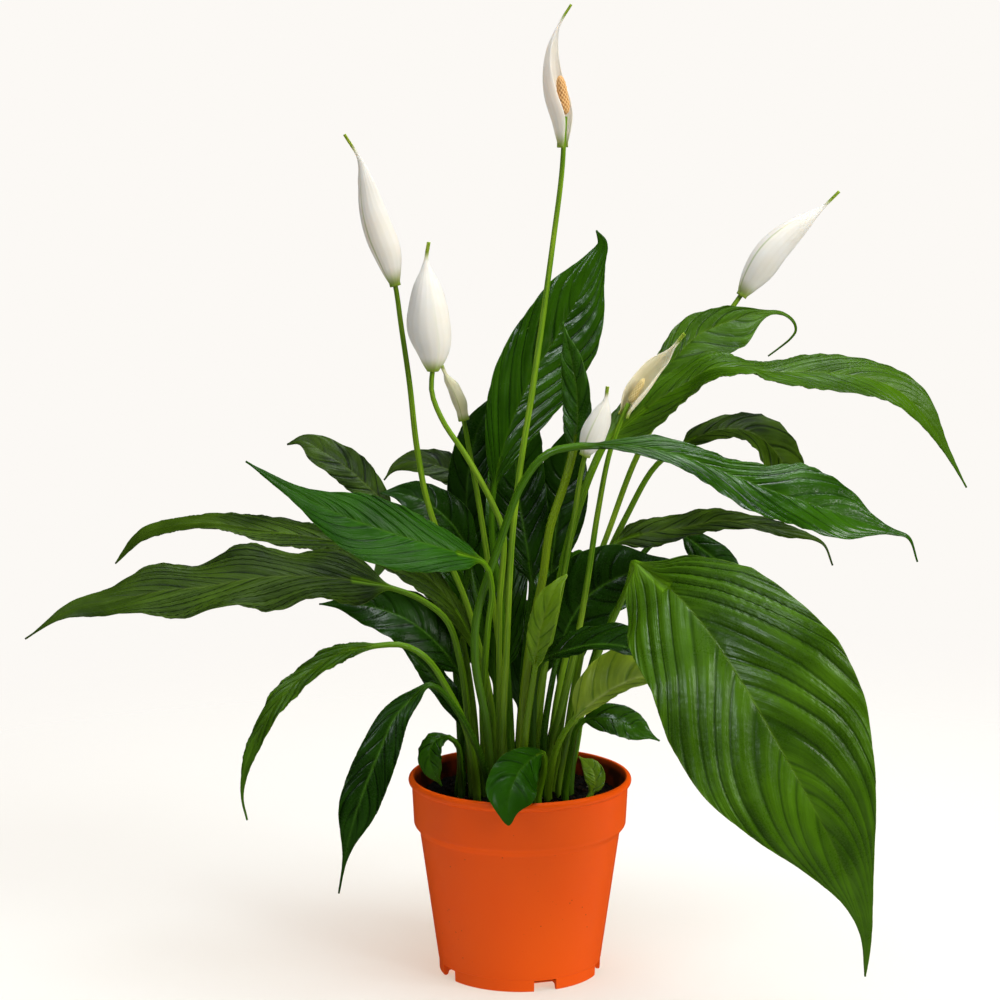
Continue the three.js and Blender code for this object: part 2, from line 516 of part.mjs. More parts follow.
function leafGeometry(leaf) {
  const foot = footOf(leaf.root);
  const points = [...foot, ...leaf.stem.map(place), ...leaf.blade.map(place)];
  const line = lineThrough(points);
  const baseAt = line.distanceOf(foot.length + leaf.stem.length);
  const bladeLength = line.length - baseAt;
  const [rootRadius, topRadius] = leaf.petiole ?? [PETIOLE.root, PETIOLE.top];
  const shape = leaf.shape ?? LEAF.shape;
  const tail = leaf.tail ?? LEAF.tail;
  const [left, right] = leaf.halves ?? [1, 1];
  const across = leaf.fine ? [-1, -0.5, 0, 0.5, 1] : [-1, 0, 1];
  const [waveHeight, waves, phase] = leaf.wave;

  const frameAt = (distance, degrees) => {
    const { point, tangent } = line.at(distance);
    const normal = faceNormal(point, tangent, degrees, leaf.up);
    return { point, tangent, normal, side: tangent.clone().cross(normal) };
  };
  const base = frameAt(baseAt, leaf.face[0]);

  const rings = [];
  for (const distance of stemStops(line, baseAt, PETIOLE.step).slice(0, -1)) {
    const { point, tangent } = line.at(distance);
    const side = base.side.clone().addScaledVector(tangent, -base.side.dot(tangent)).normalize();
    const normal = side.clone().cross(tangent);
    const radius = THREE.MathUtils.lerp(rootRadius, topRadius, distance / baseAt);
    rings.push(leafRing({ point, side, normal }, {
      across, radius, merge: 0, thickness: 0, rib: 0, profile: (s) => [s, 0],
    }));
  }
  const bladeSteps = Math.max(leaf.fine ? 10 : 7, Math.round(bladeLength / (leaf.step ?? LEAF.step)));
  for (let i = 0; i <= bladeSteps; i++) {
    const even = i / bladeSteps;
    const t = even - 0.05 * Math.sin(2 * Math.PI * even);
    const frame = frameAt(baseAt + bladeLength * t, along(leaf.face, t));
    const share = outline(t, shape, tail);
    const least = t < 0.5 ? topRadius * (1 - t) : LEAF.tipHalfWidth;
    const fold = radians(leaf.fold);
    const profile = (s) => {
      const half = Math.max((leaf.width / 2) * share * along(s > 0 ? right : left, t), least);
      const a = Math.abs(s) * half;
      const turn = 2 * Math.PI * waves * t + phase + (s > 0 ? 1.9 : 0);
      const wave = waveHeight * share * s * s * Math.sin(turn);
      return [Math.sign(s) * a * Math.cos(fold), a * Math.sin(fold) - leaf.curl * a * Math.abs(s) + wave];
    };
    rings.push(leafRing(frame, {
      across, profile, radius: topRadius,
      merge: smooth(t, 0, leaf.merge ?? LEAF.merge),
      thickness: THREE.MathUtils.lerp(LEAF.thickness, LEAF.tipThickness, t),
      rib: LEAF.rib * (1 - t) ** 1.5,
    }));
  }
  return bodyOfRings(rings);
}

// ---- Blooms ---------------------------------------------------------------------------------------------

// A round stem from the soil to the spadix.
function stalkGeometry(bloom) {
  const line = lineThrough([...footOf(bloom.root), ...bloom.stalk.map(place)]);
  const rings = [];
  for (const distance of stemStops(line, line.length, STALK.step)) {
    const { point, tangent } = line.at(distance);
    const side = new THREE.Vector3(1, 0, 0).addScaledVector(tangent, -tangent.x).normalize();
    const normal = side.clone().cross(tangent);
    const radius = along(STALK.radii, distance / line.length);
    rings.push(Array.from({ length: STALK.sides }, (_, j) => {
      const a = Math.PI - (2 * Math.PI * (j + 0.5)) / STALK.sides;
      return point.clone().addScaledVector(side, radius * Math.cos(a))
        .addScaledVector(normal, radius * Math.sin(a));
    }));
  }
  return bodyOfRings(rings);
}

// The hood: at each step an arc round the line, closed behind and open towards `face`. It starts as a collar
// round the stalk, widens round the spadix and closes to a point.
function spatheGeometry(bloom) {
  const line = lineThrough(bloom.spathe.map(place));
  const rings = [];
  for (let i = 0; i <= SPATHE.steps; i++) {
    const t = i / SPATHE.steps;
    const { point, tangent } = line.at(line.length * t);
    const normal = faceNormal(point, tangent, bloom.face, false);
    const side = tangent.clone().cross(normal);
    const swell = outline(Math.min(t + 0.04, 1), SPATHE.shape, LEAF.tail);
    const collar = SPATHE.collar * (1 - smooth(t, 0.3, 0.9));
    const radius = Math.max(collar, SPATHE.tipRadius, (bloom.width / 2) * swell);
    const wrap = radians(THREE.MathUtils.lerp(125, 70, smooth(t, 0.15, 0.9)));
    const inner = radius - SPATHE.thickness / 2;
    const outer = radius + SPATHE.thickness / 2;
    const arc = (r, s) => point.clone().addScaledVector(side, r * Math.sin(s * wrap))
      .addScaledVector(normal, -r * Math.cos(s * wrap));
    const across = [-1, -0.5, 0, 0.5, 1];
    rings.push([...across.map((s) => arc(inner, s)), ...across.toReversed().map((s) => arc(outer, s))]);
  }
  return bodyOfRings(rings);
}

// The spike: round, blunt at both ends, with rows of small knobs as relief.
function spadixGeometry(bloom) {
  const line = lineThrough(bloom.spadix.map(place));
  const { rows, sides } = SPADIX;
  const rings = [];
  for (let i = 0; i <= rows; i++) {
    const t = i / rows;
    const { point, tangent } = line.at(line.length * t);
    const side = new THREE.Vector3(1, 0, 0).addScaledVector(tangent, -tangent.x).normalize();
    const normal = side.clone().cross(tangent);
    const swell = Math.sqrt(Math.max(0.06, 1 - (2 * t - 1) ** 4)) * (1 - 0.25 * t);
    rings.push(Array.from({ length: sides }, (_, j) => {
      const a = Math.PI - (2 * Math.PI * (j + 0.5)) / sides;
      const r = bloom.spike * swell * ((i + j) % 2 ? 0.9 : 1.04);
      return point.clone().addScaledVector(side, r * Math.cos(a)).addScaledVector(normal, r * Math.sin(a));
    }));
  }
  return bodyOfRings(rings);
}

// ---- Pot and soil ---------------------------------------------------------------------------------------

function solidOf(geometry) {
  const bare = geometry.clone();
  bare.deleteAttribute("normal");
  bare.deleteAttribute("uv");
  const merged = mergeVertices(bare, 1e-4);
  return new wasm.Manifold(new wasm.Mesh({
    numProp: 3,
    vertProperties: new Float32Array(merged.attributes.position.array),
    triVerts: new Uint32Array(merged.index.array),
  }));
}

function geometryOf(solid) {
  const mesh = solid.getMesh();
  const geometry = new THREE.BufferGeometry();
  geometry.setAttribute("position", new THREE.BufferAttribute(mesh.vertProperties, 3));
  geometry.setIndex(new THREE.BufferAttribute(mesh.triVerts, 1));
  return geometry;
}

// Turns a profile of [radius, height] points round the pot's axis.
function turned(profile, sides) {
  const lathe = new THREE.LatheGeometry(profile.map(([r, z]) => new THREE.Vector2(r, z)), sides);
  return lathe.rotateX(Math.PI / 2);
}

const bodyRadius = (z) =>
  THREE.MathUtils.mapLinear(z, POT.footLineZ, POT.bodyTopZ, POT.footRadius + POT.footStep, POT.bodyTop);
const innerRadius = (z) => (z < POT.bodyTopZ + 2
  ? bodyRadius(z) - POT.wall
  : THREE.MathUtils.mapLinear(z, POT.bodyTopZ + 2, POT.height, bodyRadius(POT.bodyTopZ + 2) - POT.wall,
    POT.bandTop - POT.wall + 0.2));

function potGeometry() {
  const lipBottom = POT.height - POT.lipHeight;
  const floorEdge = POT.footRadius - POT.footWall;
  const outside = [
    [0, 0], [POT.padRadius, 0], [POT.padRadius + 1.5, POT.floorUnder], [floorEdge, POT.floorUnder],
    [floorEdge + 0.8, 0], [POT.footRadius, 0], [POT.footRadius + 0.2, POT.footLineZ],
    [POT.footRadius + POT.footStep, POT.footLineZ + 0.3], [POT.bodyTop, POT.bodyTopZ],
    [POT.bandBottom, POT.bandBottomZ], [POT.bandTop, lipBottom - 0.6], [POT.bandTop + 0.6, lipBottom],
    [POT.lipRadius - 0.5, lipBottom + 0.3], [POT.lipRadius, lipBottom + 1.6],
    [POT.lipRadius - 0.3, POT.height - 0.9], [POT.lipRadius - 1.4, POT.height],
  ];
  const inside = [
    [innerRadius(POT.height) + 0.4, POT.height], [innerRadius(POT.height), POT.height - 0.6],
    [innerRadius(POT.bodyTopZ + 2), POT.bodyTopZ + 2], [innerRadius(POT.footLineZ), POT.footLineZ],
    [innerRadius(POT.footLineZ) - 1.6, POT.floorTop], [0, POT.floorTop],
  ];
  let pot = solidOf(turned([...outside, ...inside], POT.sides));
  for (const azimuth of NOTCH.azimuths) {
    const block = new THREE.BoxGeometry(NOTCH.width, NOTCH.depth, 2 * NOTCH.height);
    block.translate(0, -(POT.footRadius - NOTCH.depth / 2 + 2), 0).rotateZ(radians(azimuth));
    pot = pot.subtract(solidOf(block));
  }
  return geometryOf(pot);
}

// The soil's surface: a low crown in the middle under an even scatter of crumbs.
function soilHeight(x, y) {
  const r = Math.hypot(x, y);
  const crown = SOIL.crown * (1 - smooth(r, 0, SOIL.crownRadius));
  const crumbs = Math.sin(0.61 * x + 1.3) * Math.cos(0.53 * y + 0.4) + 0.6 * Math.sin(1.17 * x - 0.9 * y);
  return SOIL.top + crown + SOIL.crumb * crumbs * 0.6;
}

function soilGeometry(stems) {
  const rimZ = SOIL.top;
  const profile = [[0, POT.floorTop + SOIL.gap], [innerRadius(POT.footLineZ) - 2.2, POT.floorTop + SOIL.gap],
    [innerRadius(POT.footLineZ) - SOIL.gap, POT.footLineZ + 0.4],
    [innerRadius(POT.bodyTopZ) - SOIL.gap, POT.bodyTopZ], [innerRadius(rimZ) - SOIL.gap, rimZ]];
  for (let i = 1; i <= SOIL.rings; i++) {
    profile.push([(innerRadius(rimZ) - SOIL.gap) * (1 - i / SOIL.rings), rimZ]);
  }
  const geometry = turned(profile, SOIL.sides);
  const position = geometry.attributes.position;
  for (let i = 0; i < position.count; i++) {
    const [x, y, z] = [position.getX(i), position.getY(i), position.getZ(i)];
    if (Math.abs(z - rimZ) < 0.01) position.setZ(i, soilHeight(x, y));
  }
  let soil = solidOf(geometry);
  for (const { root: [x, y], radius } of stems) {
    const hole = new THREE.CylinderGeometry(radius + HOLE.gap, radius + HOLE.gap, 30, HOLE.sides);
    hole.rotateX(Math.PI / 2).translate(x, y, SOIL.top - ROOT_DEPTH - 1 + 15);
    soil = soil.subtract(solidOf(hole));
  }
  return geometryOf(soil);
}

// ---- The plant ------------------------------------------------------------------------------------------

const plant = new THREE.Group();

function add(name, geometry, colour, roughness) {
  const material = new THREE.MeshStandardMaterial({ color: COLOURS[colour], roughness, metalness: 0 });
  const mesh = new THREE.Mesh(geometry, material);
  mesh.name = name;
  plant.add(mesh);
}

const stems = [
  ...Object.values(LEAVES).map(({ root }) => ({ root, radius: PETIOLE.root })),
  ...Object.values(BLOOMS).map(({ root }) => ({ root, radius: STALK.radii[0] })),
];
add("pot", potGeometry(), "pot", 0.45);
add("soil", soilGeometry(stems), "soil", 0.95);
for (const [name, leaf] of Object.entries(LEAVES)) add(name, leafGeometry(leaf), leaf.colour, 0.35);
for (const [name, bloom] of Object.entries(BLOOMS)) {
  add(`${name}_stalk`, stalkGeometry(bloom), "stalk", 0.45);
  add(`${name}_spathe`, spatheGeometry(bloom), "spathe", 0.6);
  add(`${name}_spadix`, spadixGeometry(bloom), "spadix", 0.7);
}

export default plant;
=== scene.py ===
"""The looks of a potted peace lily: pot, potting mix, leaves and blooms in fine meshes with their finishes.

The shapes are worked out in millimetres and stored in metres, +Z up, with the plant's front towards -Y. As in
the part's source, a point of a stem or a midrib is (across, up, depth): where it is seen on the plane y = 0
from the eye in front of the plant, and its true depth behind (+) or in front of (-) that plane.
"""

from __future__ import annotations

import logging
import math
from collections.abc import Callable, Sequence
from dataclasses import dataclass, field
from enum import Enum
from typing import Any

import bpy
import numpy as np
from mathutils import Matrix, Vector


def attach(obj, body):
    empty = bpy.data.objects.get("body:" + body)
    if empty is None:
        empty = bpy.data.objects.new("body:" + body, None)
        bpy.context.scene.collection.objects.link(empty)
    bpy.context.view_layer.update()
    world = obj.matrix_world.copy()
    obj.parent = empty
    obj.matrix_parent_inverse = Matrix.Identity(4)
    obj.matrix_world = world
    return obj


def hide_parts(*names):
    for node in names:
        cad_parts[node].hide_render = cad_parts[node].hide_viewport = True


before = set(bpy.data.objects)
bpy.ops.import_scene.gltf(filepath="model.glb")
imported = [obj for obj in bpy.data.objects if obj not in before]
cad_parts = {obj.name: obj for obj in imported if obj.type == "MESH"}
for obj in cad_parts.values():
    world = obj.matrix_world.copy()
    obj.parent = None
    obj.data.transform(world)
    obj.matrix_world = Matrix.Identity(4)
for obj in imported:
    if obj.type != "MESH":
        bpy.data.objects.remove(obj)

log = logging.getLogger("peace_lily")

Array = np.ndarray
Point = tuple[float, float, float]
Offsets = tuple[Array, Array]

MM = 0.001
EYE = np.array([-10.7, -1600.0, 540.0])
LINE_SAMPLES = 400


# ---- Numbers ----------------------------------------------------------------------------------------------


def smooth(x: Array | float, low: float, high: float) -> Array:
    """Eases from 0 at low to 1 at high: 3u² - 2u³ of the clamped share u."""
    u = np.clip((np.asarray(x, float) - low) / (high - low), 0.0, 1.0)
    return u * u * (3.0 - 2.0 * u)


def run_through(values: float | Sequence[float], t: Array) -> Array:
    """Runs evenly through a list of values while t goes from 0 to 1; one value stays as it is."""
    listed = np.atleast_1d(np.asarray(values, float))
    return np.interp(t, np.linspace(0.0, 1.0, len(listed)), listed) if len(listed) > 1 else listed[0] + 0.0 * t


def unit(vectors: Array) -> Array:
    """Each vector divided by its length."""
    return vectors / np.maximum(np.linalg.norm(vectors, axis=-1, keepdims=True), 1e-9)


def dot(a: Array, b: Array) -> Array:
    """The dot product of each pair of vectors, kept as a column."""
    return np.sum(a * b, axis=-1, keepdims=True)


def place(points: Sequence[Point]) -> Array:
    """Puts seen points in space.

    A seen point (across, up, depth) lies on the ray from the eye through (across, 0, up), scaled by
    1 + depth / 1600 about the eye.

    Args:
        points: The seen points.

    Returns:
        Their places, one row each.
    """
    seen = np.asarray(points, float).reshape(-1, 3)
    k = 1.0 - seen[:, 2] / EYE[1]
    return np.column_stack([EYE[0] + (seen[:, 0] - EYE[0]) * k, seen[:, 2], EYE[2] + (seen[:, 1] - EYE[2]) * k])


def outline(t: Array, shape: tuple[float, float], tail: tuple[float, float, float]) -> Array:
    """The share of a blade's greatest width along it.

    It rises as t to the power p and falls as (1 - t) to the power q, divided by its peak; from one place to
    another along the blade it is brought down to a share of itself, which draws out the tip.

    Args:
        t: Places along the blade, 0 at its base and 1 at its tip.
        shape: The powers p and q.
        tail: Where the drawing-out starts and ends, and the share that it leaves.

    Returns:
        The share of the greatest width at each place.
    """
    p, q = shape
    start, end, share = tail
    peak = p / (p + q)
    greatest = peak**p * (1.0 - peak) ** q
    return t**p * (1.0 - t) ** q / greatest * (1.0 - (1.0 - share) * smooth(t, start, end))


class Line:
    """A smooth line through points: a centripetal Catmull-Rom spline measured by its length."""

    def __init__(self, points: Array) -> None:
        """Takes the points and measures the line at even steps.

        Args:
            points: The points, one row each.
        """
        self.points = points
        self._ends = np.vstack([2 * points[0] - points[1], points, 2 * points[-1] - points[-2]])
        self._steps = np.linspace(0.0, 1.0, LINE_SAMPLES + 1)
        runs = np.linalg.norm(np.diff(self._spline(self._steps), axis=0), axis=1)
        self._lengths = np.concatenate([[0.0], np.cumsum(runs)])

    @property
    def length(self) -> float:
        """The length of the whole line."""
        return float(self._lengths[-1])

    def _spline(self, u: Array) -> Array:
        """The spline at shares of its run of points.

        Between two points it is the cubic with their values and with tangents that weigh the neighbours by
        the fourth root of the squared distances between them.
        """
        last = len(self.points) - 1
        run = u * last
        i = np.minimum(np.floor(run).astype(int), last - 1)
        w = (run - i)[:, None]
        p0, p1, p2, p3 = (self._ends[i + k] for k in range(4))
        d0, d1, d2 = (np.maximum(np.sum((b - a) ** 2, axis=1) ** 0.25, 1e-4)[:, None]
                      for a, b in ((p0, p1), (p1, p2), (p2, p3)))
        m1 = ((p1 - p0) / d0 - (p2 - p0) / (d0 + d1) + (p2 - p1) / d1) * d1
        m2 = ((p2 - p1) / d1 - (p3 - p1) / (d1 + d2) + (p3 - p2) / d2) * d1
        return p1 + w * (m1 + w * (3 * (p2 - p1) - 2 * m1 - m2 + w * (2 * (p1 - p2) + m1 + m2)))

    def distance_of(self, index: int) -> float:
        """The distance along the line of one of its points."""
        return float(np.interp(index / (len(self.points) - 1), self._steps, self._lengths))

    def at(self, distances: Array) -> tuple[Array, Array]:
        """The places and directions at distances along the line.

        Args:
            distances: Distances from the start.

        Returns:
            The points and the unit tangents.
        """
        u = np.interp(distances, self._lengths, self._steps)
        ahead = self._spline(np.clip(u + 1e-4, 0, 1)) - self._spline(np.clip(u - 1e-4, 0, 1))
        return self._spline(u), unit(ahead)


def face_normals(points: Array, tangents: Array, degrees: Array, up: bool = False) -> Array:
    """The directions of an upper face.

    The direction to the eye, or to the sky, is made square to the tangent and turned about it by the angle.

    Args:
        points: Points of the midrib.
        tangents: Its directions there.
        degrees: The turn away from the eye or the sky.
        up: Whether the turn is measured from the sky.

    Returns:
        Unit normals, square to the tangents.
    """
    towards = np.broadcast_to([0.0, 0.0, 1.0], points.shape) if up else unit(EYE - points)
    e1 = unit(towards - dot(towards, tangents) * tangents)
    angle = np.radians(degrees)[:, None]
    return e1 * np.cos(angle) + np.cross(tangents, e1) * np.sin(angle)


def square_to(direction: Array, tangents: Array) -> tuple[Array, Array]:
    """A side and a normal square to each tangent, the side as near to the direction as it can be."""
    side = unit(direction - dot(np.broadcast_to(direction, tangents.shape), tangents) * tangents)
    return side, np.cross(side, tangents)


def eased_steps(count: int, ease: float) -> Array:
    """Steps from 0 to 1 that lie closer at both ends: a mix of x and 3x² - 2x³."""
    x = np.linspace(0.0, 1.0, count + 1)
    return (1.0 - ease) * x + ease * smooth(x, 0.0, 1.0)


# ---- Meshes -----------------------------------------------------------------------------------------------


@dataclass
class Draft:
    """A mesh in the making: points in millimetres, faces, and what the finish reads at each point."""

    points: Array
    faces: list[Array]
    marks: dict[str, Array] = field(default_factory=dict)

    def piece(self, name: str, flat: bool = False) -> bpy.types.Object:
        """Makes the object.

        Args:
            name: The object's name.
            flat: Whether its faces are shaded flat.

        Returns:
            The object, at the origin, with its place in its mesh.
        """
        mesh = bpy.data.meshes.new(name)
        mesh.vertices.add(len(self.points))
        mesh.vertices.foreach_set("co", (self.points * MM).ravel())
        sizes = np.concatenate([np.full(len(f), f.shape[1]) for f in self.faces])
        corners = np.concatenate([f.ravel() for f in self.faces])
        mesh.loops.add(len(corners))
        mesh.loops.foreach_set("vertex_index", corners)
        mesh.polygons.add(len(sizes))
        mesh.polygons.foreach_set("loop_start", np.concatenate([[0], np.cumsum(sizes)[:-1]]))
        mesh.update(calc_edges=True)
        mesh.validate()
        for mark, values in self.marks.items():
            kind, key = ("FLOAT_VECTOR", "vector") if values.ndim == 2 else ("FLOAT", "value")
            layer = mesh.attributes.new(mark, kind, "POINT")
            layer.data.foreach_set(key, values.astype(np.float32).ravel())
        if not flat:
            mesh.shade_smooth()
        made = bpy.data.objects.new(name, mesh)
        bpy.context.scene.collection.objects.link(made)
        return made


def ring_faces(rings: int, around: int) -> Array:
    """Quads between rings of points, each ring joined to the next and closed on itself."""
    i, j = np.meshgrid(np.arange(rings - 1), np.arange(around), indexing="ij")
    k = (j + 1) % around
    return np.stack([i * around + j, i * around + k, (i + 1) * around + k, (i + 1) * around + j], -1).reshape(-1, 4)


def strip_caps(rings: int, around: int) -> Array:
    """Quads that close the first and the last ring, laid across from its first half to its second."""
    p = np.arange(around // 2 - 1)
    first = np.stack([p, around - 1 - p, around - 2 - p, p + 1], -1)
    end = (rings - 1) * around
    last = end + np.stack([p, p + 1, around - 2 - p, around - 1 - p], -1)
    return np.concatenate([first, last])


def ring_body(rings: Array, **marks: Array) -> Draft:
    """A closed body of rings.

    Args:
        rings: The points of each ring, over the top and back underneath.
        **marks: What the finish reads at each point.

    Returns:
        The draft.
    """
    count, around = rings.shape[:2]
    return Draft(rings.reshape(-1, 3), [ring_faces(count, around), strip_caps(count, around)], marks)


def marked(*values: Array | float) -> Array:
    """Three numbers for each point, one row each."""
    return np.stack(np.broadcast_arrays(*values), -1).reshape(-1, 3)


def round_body(line: Line, stops: Array, radii: Array, around: int) -> Draft:
    """A round stem: circles of the radii along a line, closed at both ends.

    Args:
        line: The middle line.
        stops: Distances of the circles along it.
        radii: The radius of each circle, or of each point of each circle.
        around: The number of points in a circle, even.

    Returns:
        The draft, with the mark "lay": the angle's share, the distance along in centimetres, and 0.
    """
    points, tangents = line.at(stops)
    side, normal = square_to(np.array([1.0, 0.0, 0.0]), tangents)
    angle = np.pi - 2 * np.pi * (np.arange(around) + 0.5) / around
    r = radii[:, None] if radii.ndim == 1 else radii
    rings = (points[:, None] + side[:, None] * (r * np.cos(angle))[..., None]
             + normal[:, None] * (r * np.sin(angle))[..., None])
    return ring_body(rings, lay=marked(angle / (2 * np.pi), stops[:, None] / 10, 0.0))


def turned(radii: Array, heights: Array, sides: int) -> Array:
    """Rings about the axis, one of each radius at its height, from -Y round through +X."""
    turn = 2 * np.pi * np.arange(sides) / sides
    return np.stack(np.broadcast_arrays(radii[:, None] * np.sin(turn), -radii[:, None] * np.cos(turn),
                                        heights[:, None]), -1)


def turned_body(rings: Array, first: float, last: float) -> Draft:
    """A body about the axis.

    Args:
        rings: Its rings of points.
        first: The height of the point on the axis that closes the first ring.
        last: The height of the one that closes the last.

    Returns:
        The draft.
    """
    count, sides = rings.shape[:2]
    ends = count * sides
    j = np.arange(sides)
    k = (j + 1) % sides
    last_ring = ends - sides
    caps = np.vstack([np.stack([k, j, np.full_like(j, ends)], -1),
                      np.stack([last_ring + j, last_ring + k, np.full_like(j, ends + 1)], -1)])
    points = np.vstack([rings.reshape(-1, 3), [0, 0, first], [0, 0, last]])
    return Draft(points, [ring_faces(count, sides), caps])


def mend(piece: bpy.types.Object, node: str, finish: bpy.types.Material) -> None:
    """Dresses a piece, ties it to the frame in place of its node and reports it.

    Args:
        piece: The piece.
        node: The CAD node that it stands for, or an empty text if it only goes with one.
        finish: Its material.
    """
    piece.data.materials.append(finish)
    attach(piece, "root")
    if node:
        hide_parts(node)
    log.info("%s: %d faces", piece.name, len(piece.data.polygons))


# ---- Finishes ---------------------------------------------------------------------------------------------


COLOUR_MIX_PORTS = (0, 6, 7)
NEARLY_E = 2.718


def colour(code: str) -> tuple[float, float, float, float]:
    """A colour as the shader wants it, from its usual six digits: each part is made linear."""
    parts = [int(code[i:i + 2], 16) / 255 for i in (0, 2, 4)]
    return (*(p / 12.92 if p <= 0.04045 else ((p + 0.055) / 1.055) ** 2.4 for p in parts), 1.0)


def operation(kind: str, swapped: bool = False) -> Callable[..., Signal]:
    """Makes a method that adds one Math node.

    Args:
        kind: The node's operation.
        swapped: Whether the other number comes first.

    Returns:
        The method.
    """

    def method(self: Signal, *others: Any) -> Signal:
        """One Math node on this number and others."""
        values = (*others, self) if swapped else (self, *others)
        return self.graph.add("ShaderNodeMath", {"operation": kind}, dict(enumerate(values)))

    return method


class Signal:
    """A number that varies over a surface: a socket that node maths can be written with."""

    __add__ = __radd__ = operation("ADD")
    __sub__, __rsub__ = operation("SUBTRACT"), operation("SUBTRACT", swapped=True)
    __mul__ = __rmul__ = operation("MULTIPLY")
    __pow__, __rpow__ = operation("POWER"), operation("POWER", swapped=True)
    fract, sine, size = operation("FRACT"), operation("SINE"), operation("ABSOLUTE")

    def __init__(self, graph: Graph, socket: bpy.types.NodeSocket) -> None:
        """Keeps the graph and the socket."""
        self.graph = graph
        self.socket = socket

    def eased(self, low: float, high: float) -> Signal:
        """Eases from 0 at low to 1 at high."""
        settings = {"interpolation_type": "SMOOTHSTEP"}
        return self.graph.add("ShaderNodeMapRange", settings, {"Value": self, "From Min": low, "From Max": high})


class Graph:
    """The nodes of one material, written as expressions."""

    def __init__(self, name: str) -> None:
        """Starts a material that holds a Principled shader.

        Args:
            name: The material's name.
        """
        self.material = bpy.data.materials.new(name)
        self.material.use_nodes = True
        self.tree = self.material.node_tree
        self.shader = self.tree.nodes["Principled BSDF"]

    def add(self, kind: str, settings: dict[str, Any], sockets: dict[Any, Any], out: Any = 0) -> Signal:
        """Adds one node.

        Args:
            kind: The node's type.
            settings: Its settings, set first.
            sockets: Values or signals for its inputs, by name or number.
            out: The output wanted, by name or number.

        Returns:
            That output as a signal.
        """
        node = self.tree.nodes.new(kind)
        for key, value in settings.items():
            setattr(node, key, value)
        for key, value in sockets.items():
            if isinstance(value, Signal):
                self.tree.links.new(value.socket, node.inputs[key])
            else:
                node.inputs[key].default_value = value
        return Signal(self, node.outputs[out])

    def parts(self, vector: Signal) -> tuple[Signal, ...]:
        """The three numbers of a vector."""
        split = self.add("ShaderNodeSeparateXYZ", {}, {0: vector}).socket.node
        return tuple(Signal(self, output) for output in split.outputs)

    def mark(self, name: str) -> tuple[Signal, ...]:
        """The three numbers of one of the piece's marks."""
        return self.parts(self.add("ShaderNodeAttribute", {"attribute_name": name}, {}, "Vector"))

    def spot(self) -> Signal:
        """The place on the piece, in metres."""
        return self.add("ShaderNodeTexCoord", {}, {}, "Object")

    def stretched(self, vector: Signal, scale: Point) -> Signal:
        """A place with each of its axes scaled."""
        return self.add("ShaderNodeMapping", {}, {"Vector": vector, "Scale": scale})

    def plane(self, x: Signal, y: Signal, scale: Point) -> Signal:
        """A place on a plane from two numbers, with its axes scaled."""
        return self.stretched(self.add("ShaderNodeCombineXYZ", {}, {0: x, 1: y}), scale)

    def noise(self, vector: Signal, scale: float, detail: float = 2.0, rough: float = 0.5) -> Signal:
        """Cloudy noise about 0.5 with that many blotches in a unit of length."""
        sockets = {"Vector": vector, "Scale": scale, "Detail": detail, "Roughness": rough}
        return self.add("ShaderNodeTexNoise", {}, sockets)

    def cells(self, vector: Signal, scale: float) -> Signal:
        """The distance to the nearest of scattered points."""
        return self.add("ShaderNodeTexVoronoi", {"feature": "F1"}, {"Vector": vector, "Scale": scale}, "Distance")

    def blend(self, share: Signal | float, first: Any, second: Any) -> Signal:
        """A colour that goes from the first to the second with the share."""
        node = self.tree.nodes.new("ShaderNodeMix")
        node.data_type, node.clamp_factor = "RGBA", True
        for port, value in zip((node.inputs[i] for i in COLOUR_MIX_PORTS), (share, first, second)):
            if isinstance(value, Signal):
                self.tree.links.new(value.socket, port)
            else:
                port.default_value = colour(value) if isinstance(value, str) else value
        return Signal(self, node.outputs[2])

    def finish(self, base: Signal, rough: Signal | float, height: Signal | None, **fixed: Any) -> bpy.types.Material:
        """Links the shader.

        Args:
            base: The colour.
            rough: The roughness.
            height: The fine relief in millimetres, if there is any.
            **fixed: Values for the shader's own sockets, with _ for a space.

        Returns:
            The material.
        """
        for key, value in fixed.items():
            self.shader.inputs[key.replace("_", " ")].default_value = value
        self.tree.links.new(base.socket, self.shader.inputs["Base Color"])
        if isinstance(rough, Signal):
            self.tree.links.new(rough.socket, self.shader.inputs["Roughness"])
        else:
            self.shader.inputs["Roughness"].default_value = rough
        if height is not None:
            bump = self.add("ShaderNodeBump", {}, {"Height": height, "Distance": MM, "Strength": 1.0})
            self.tree.links.new(bump.socket, self.shader.inputs["Normal"])
        return self.material


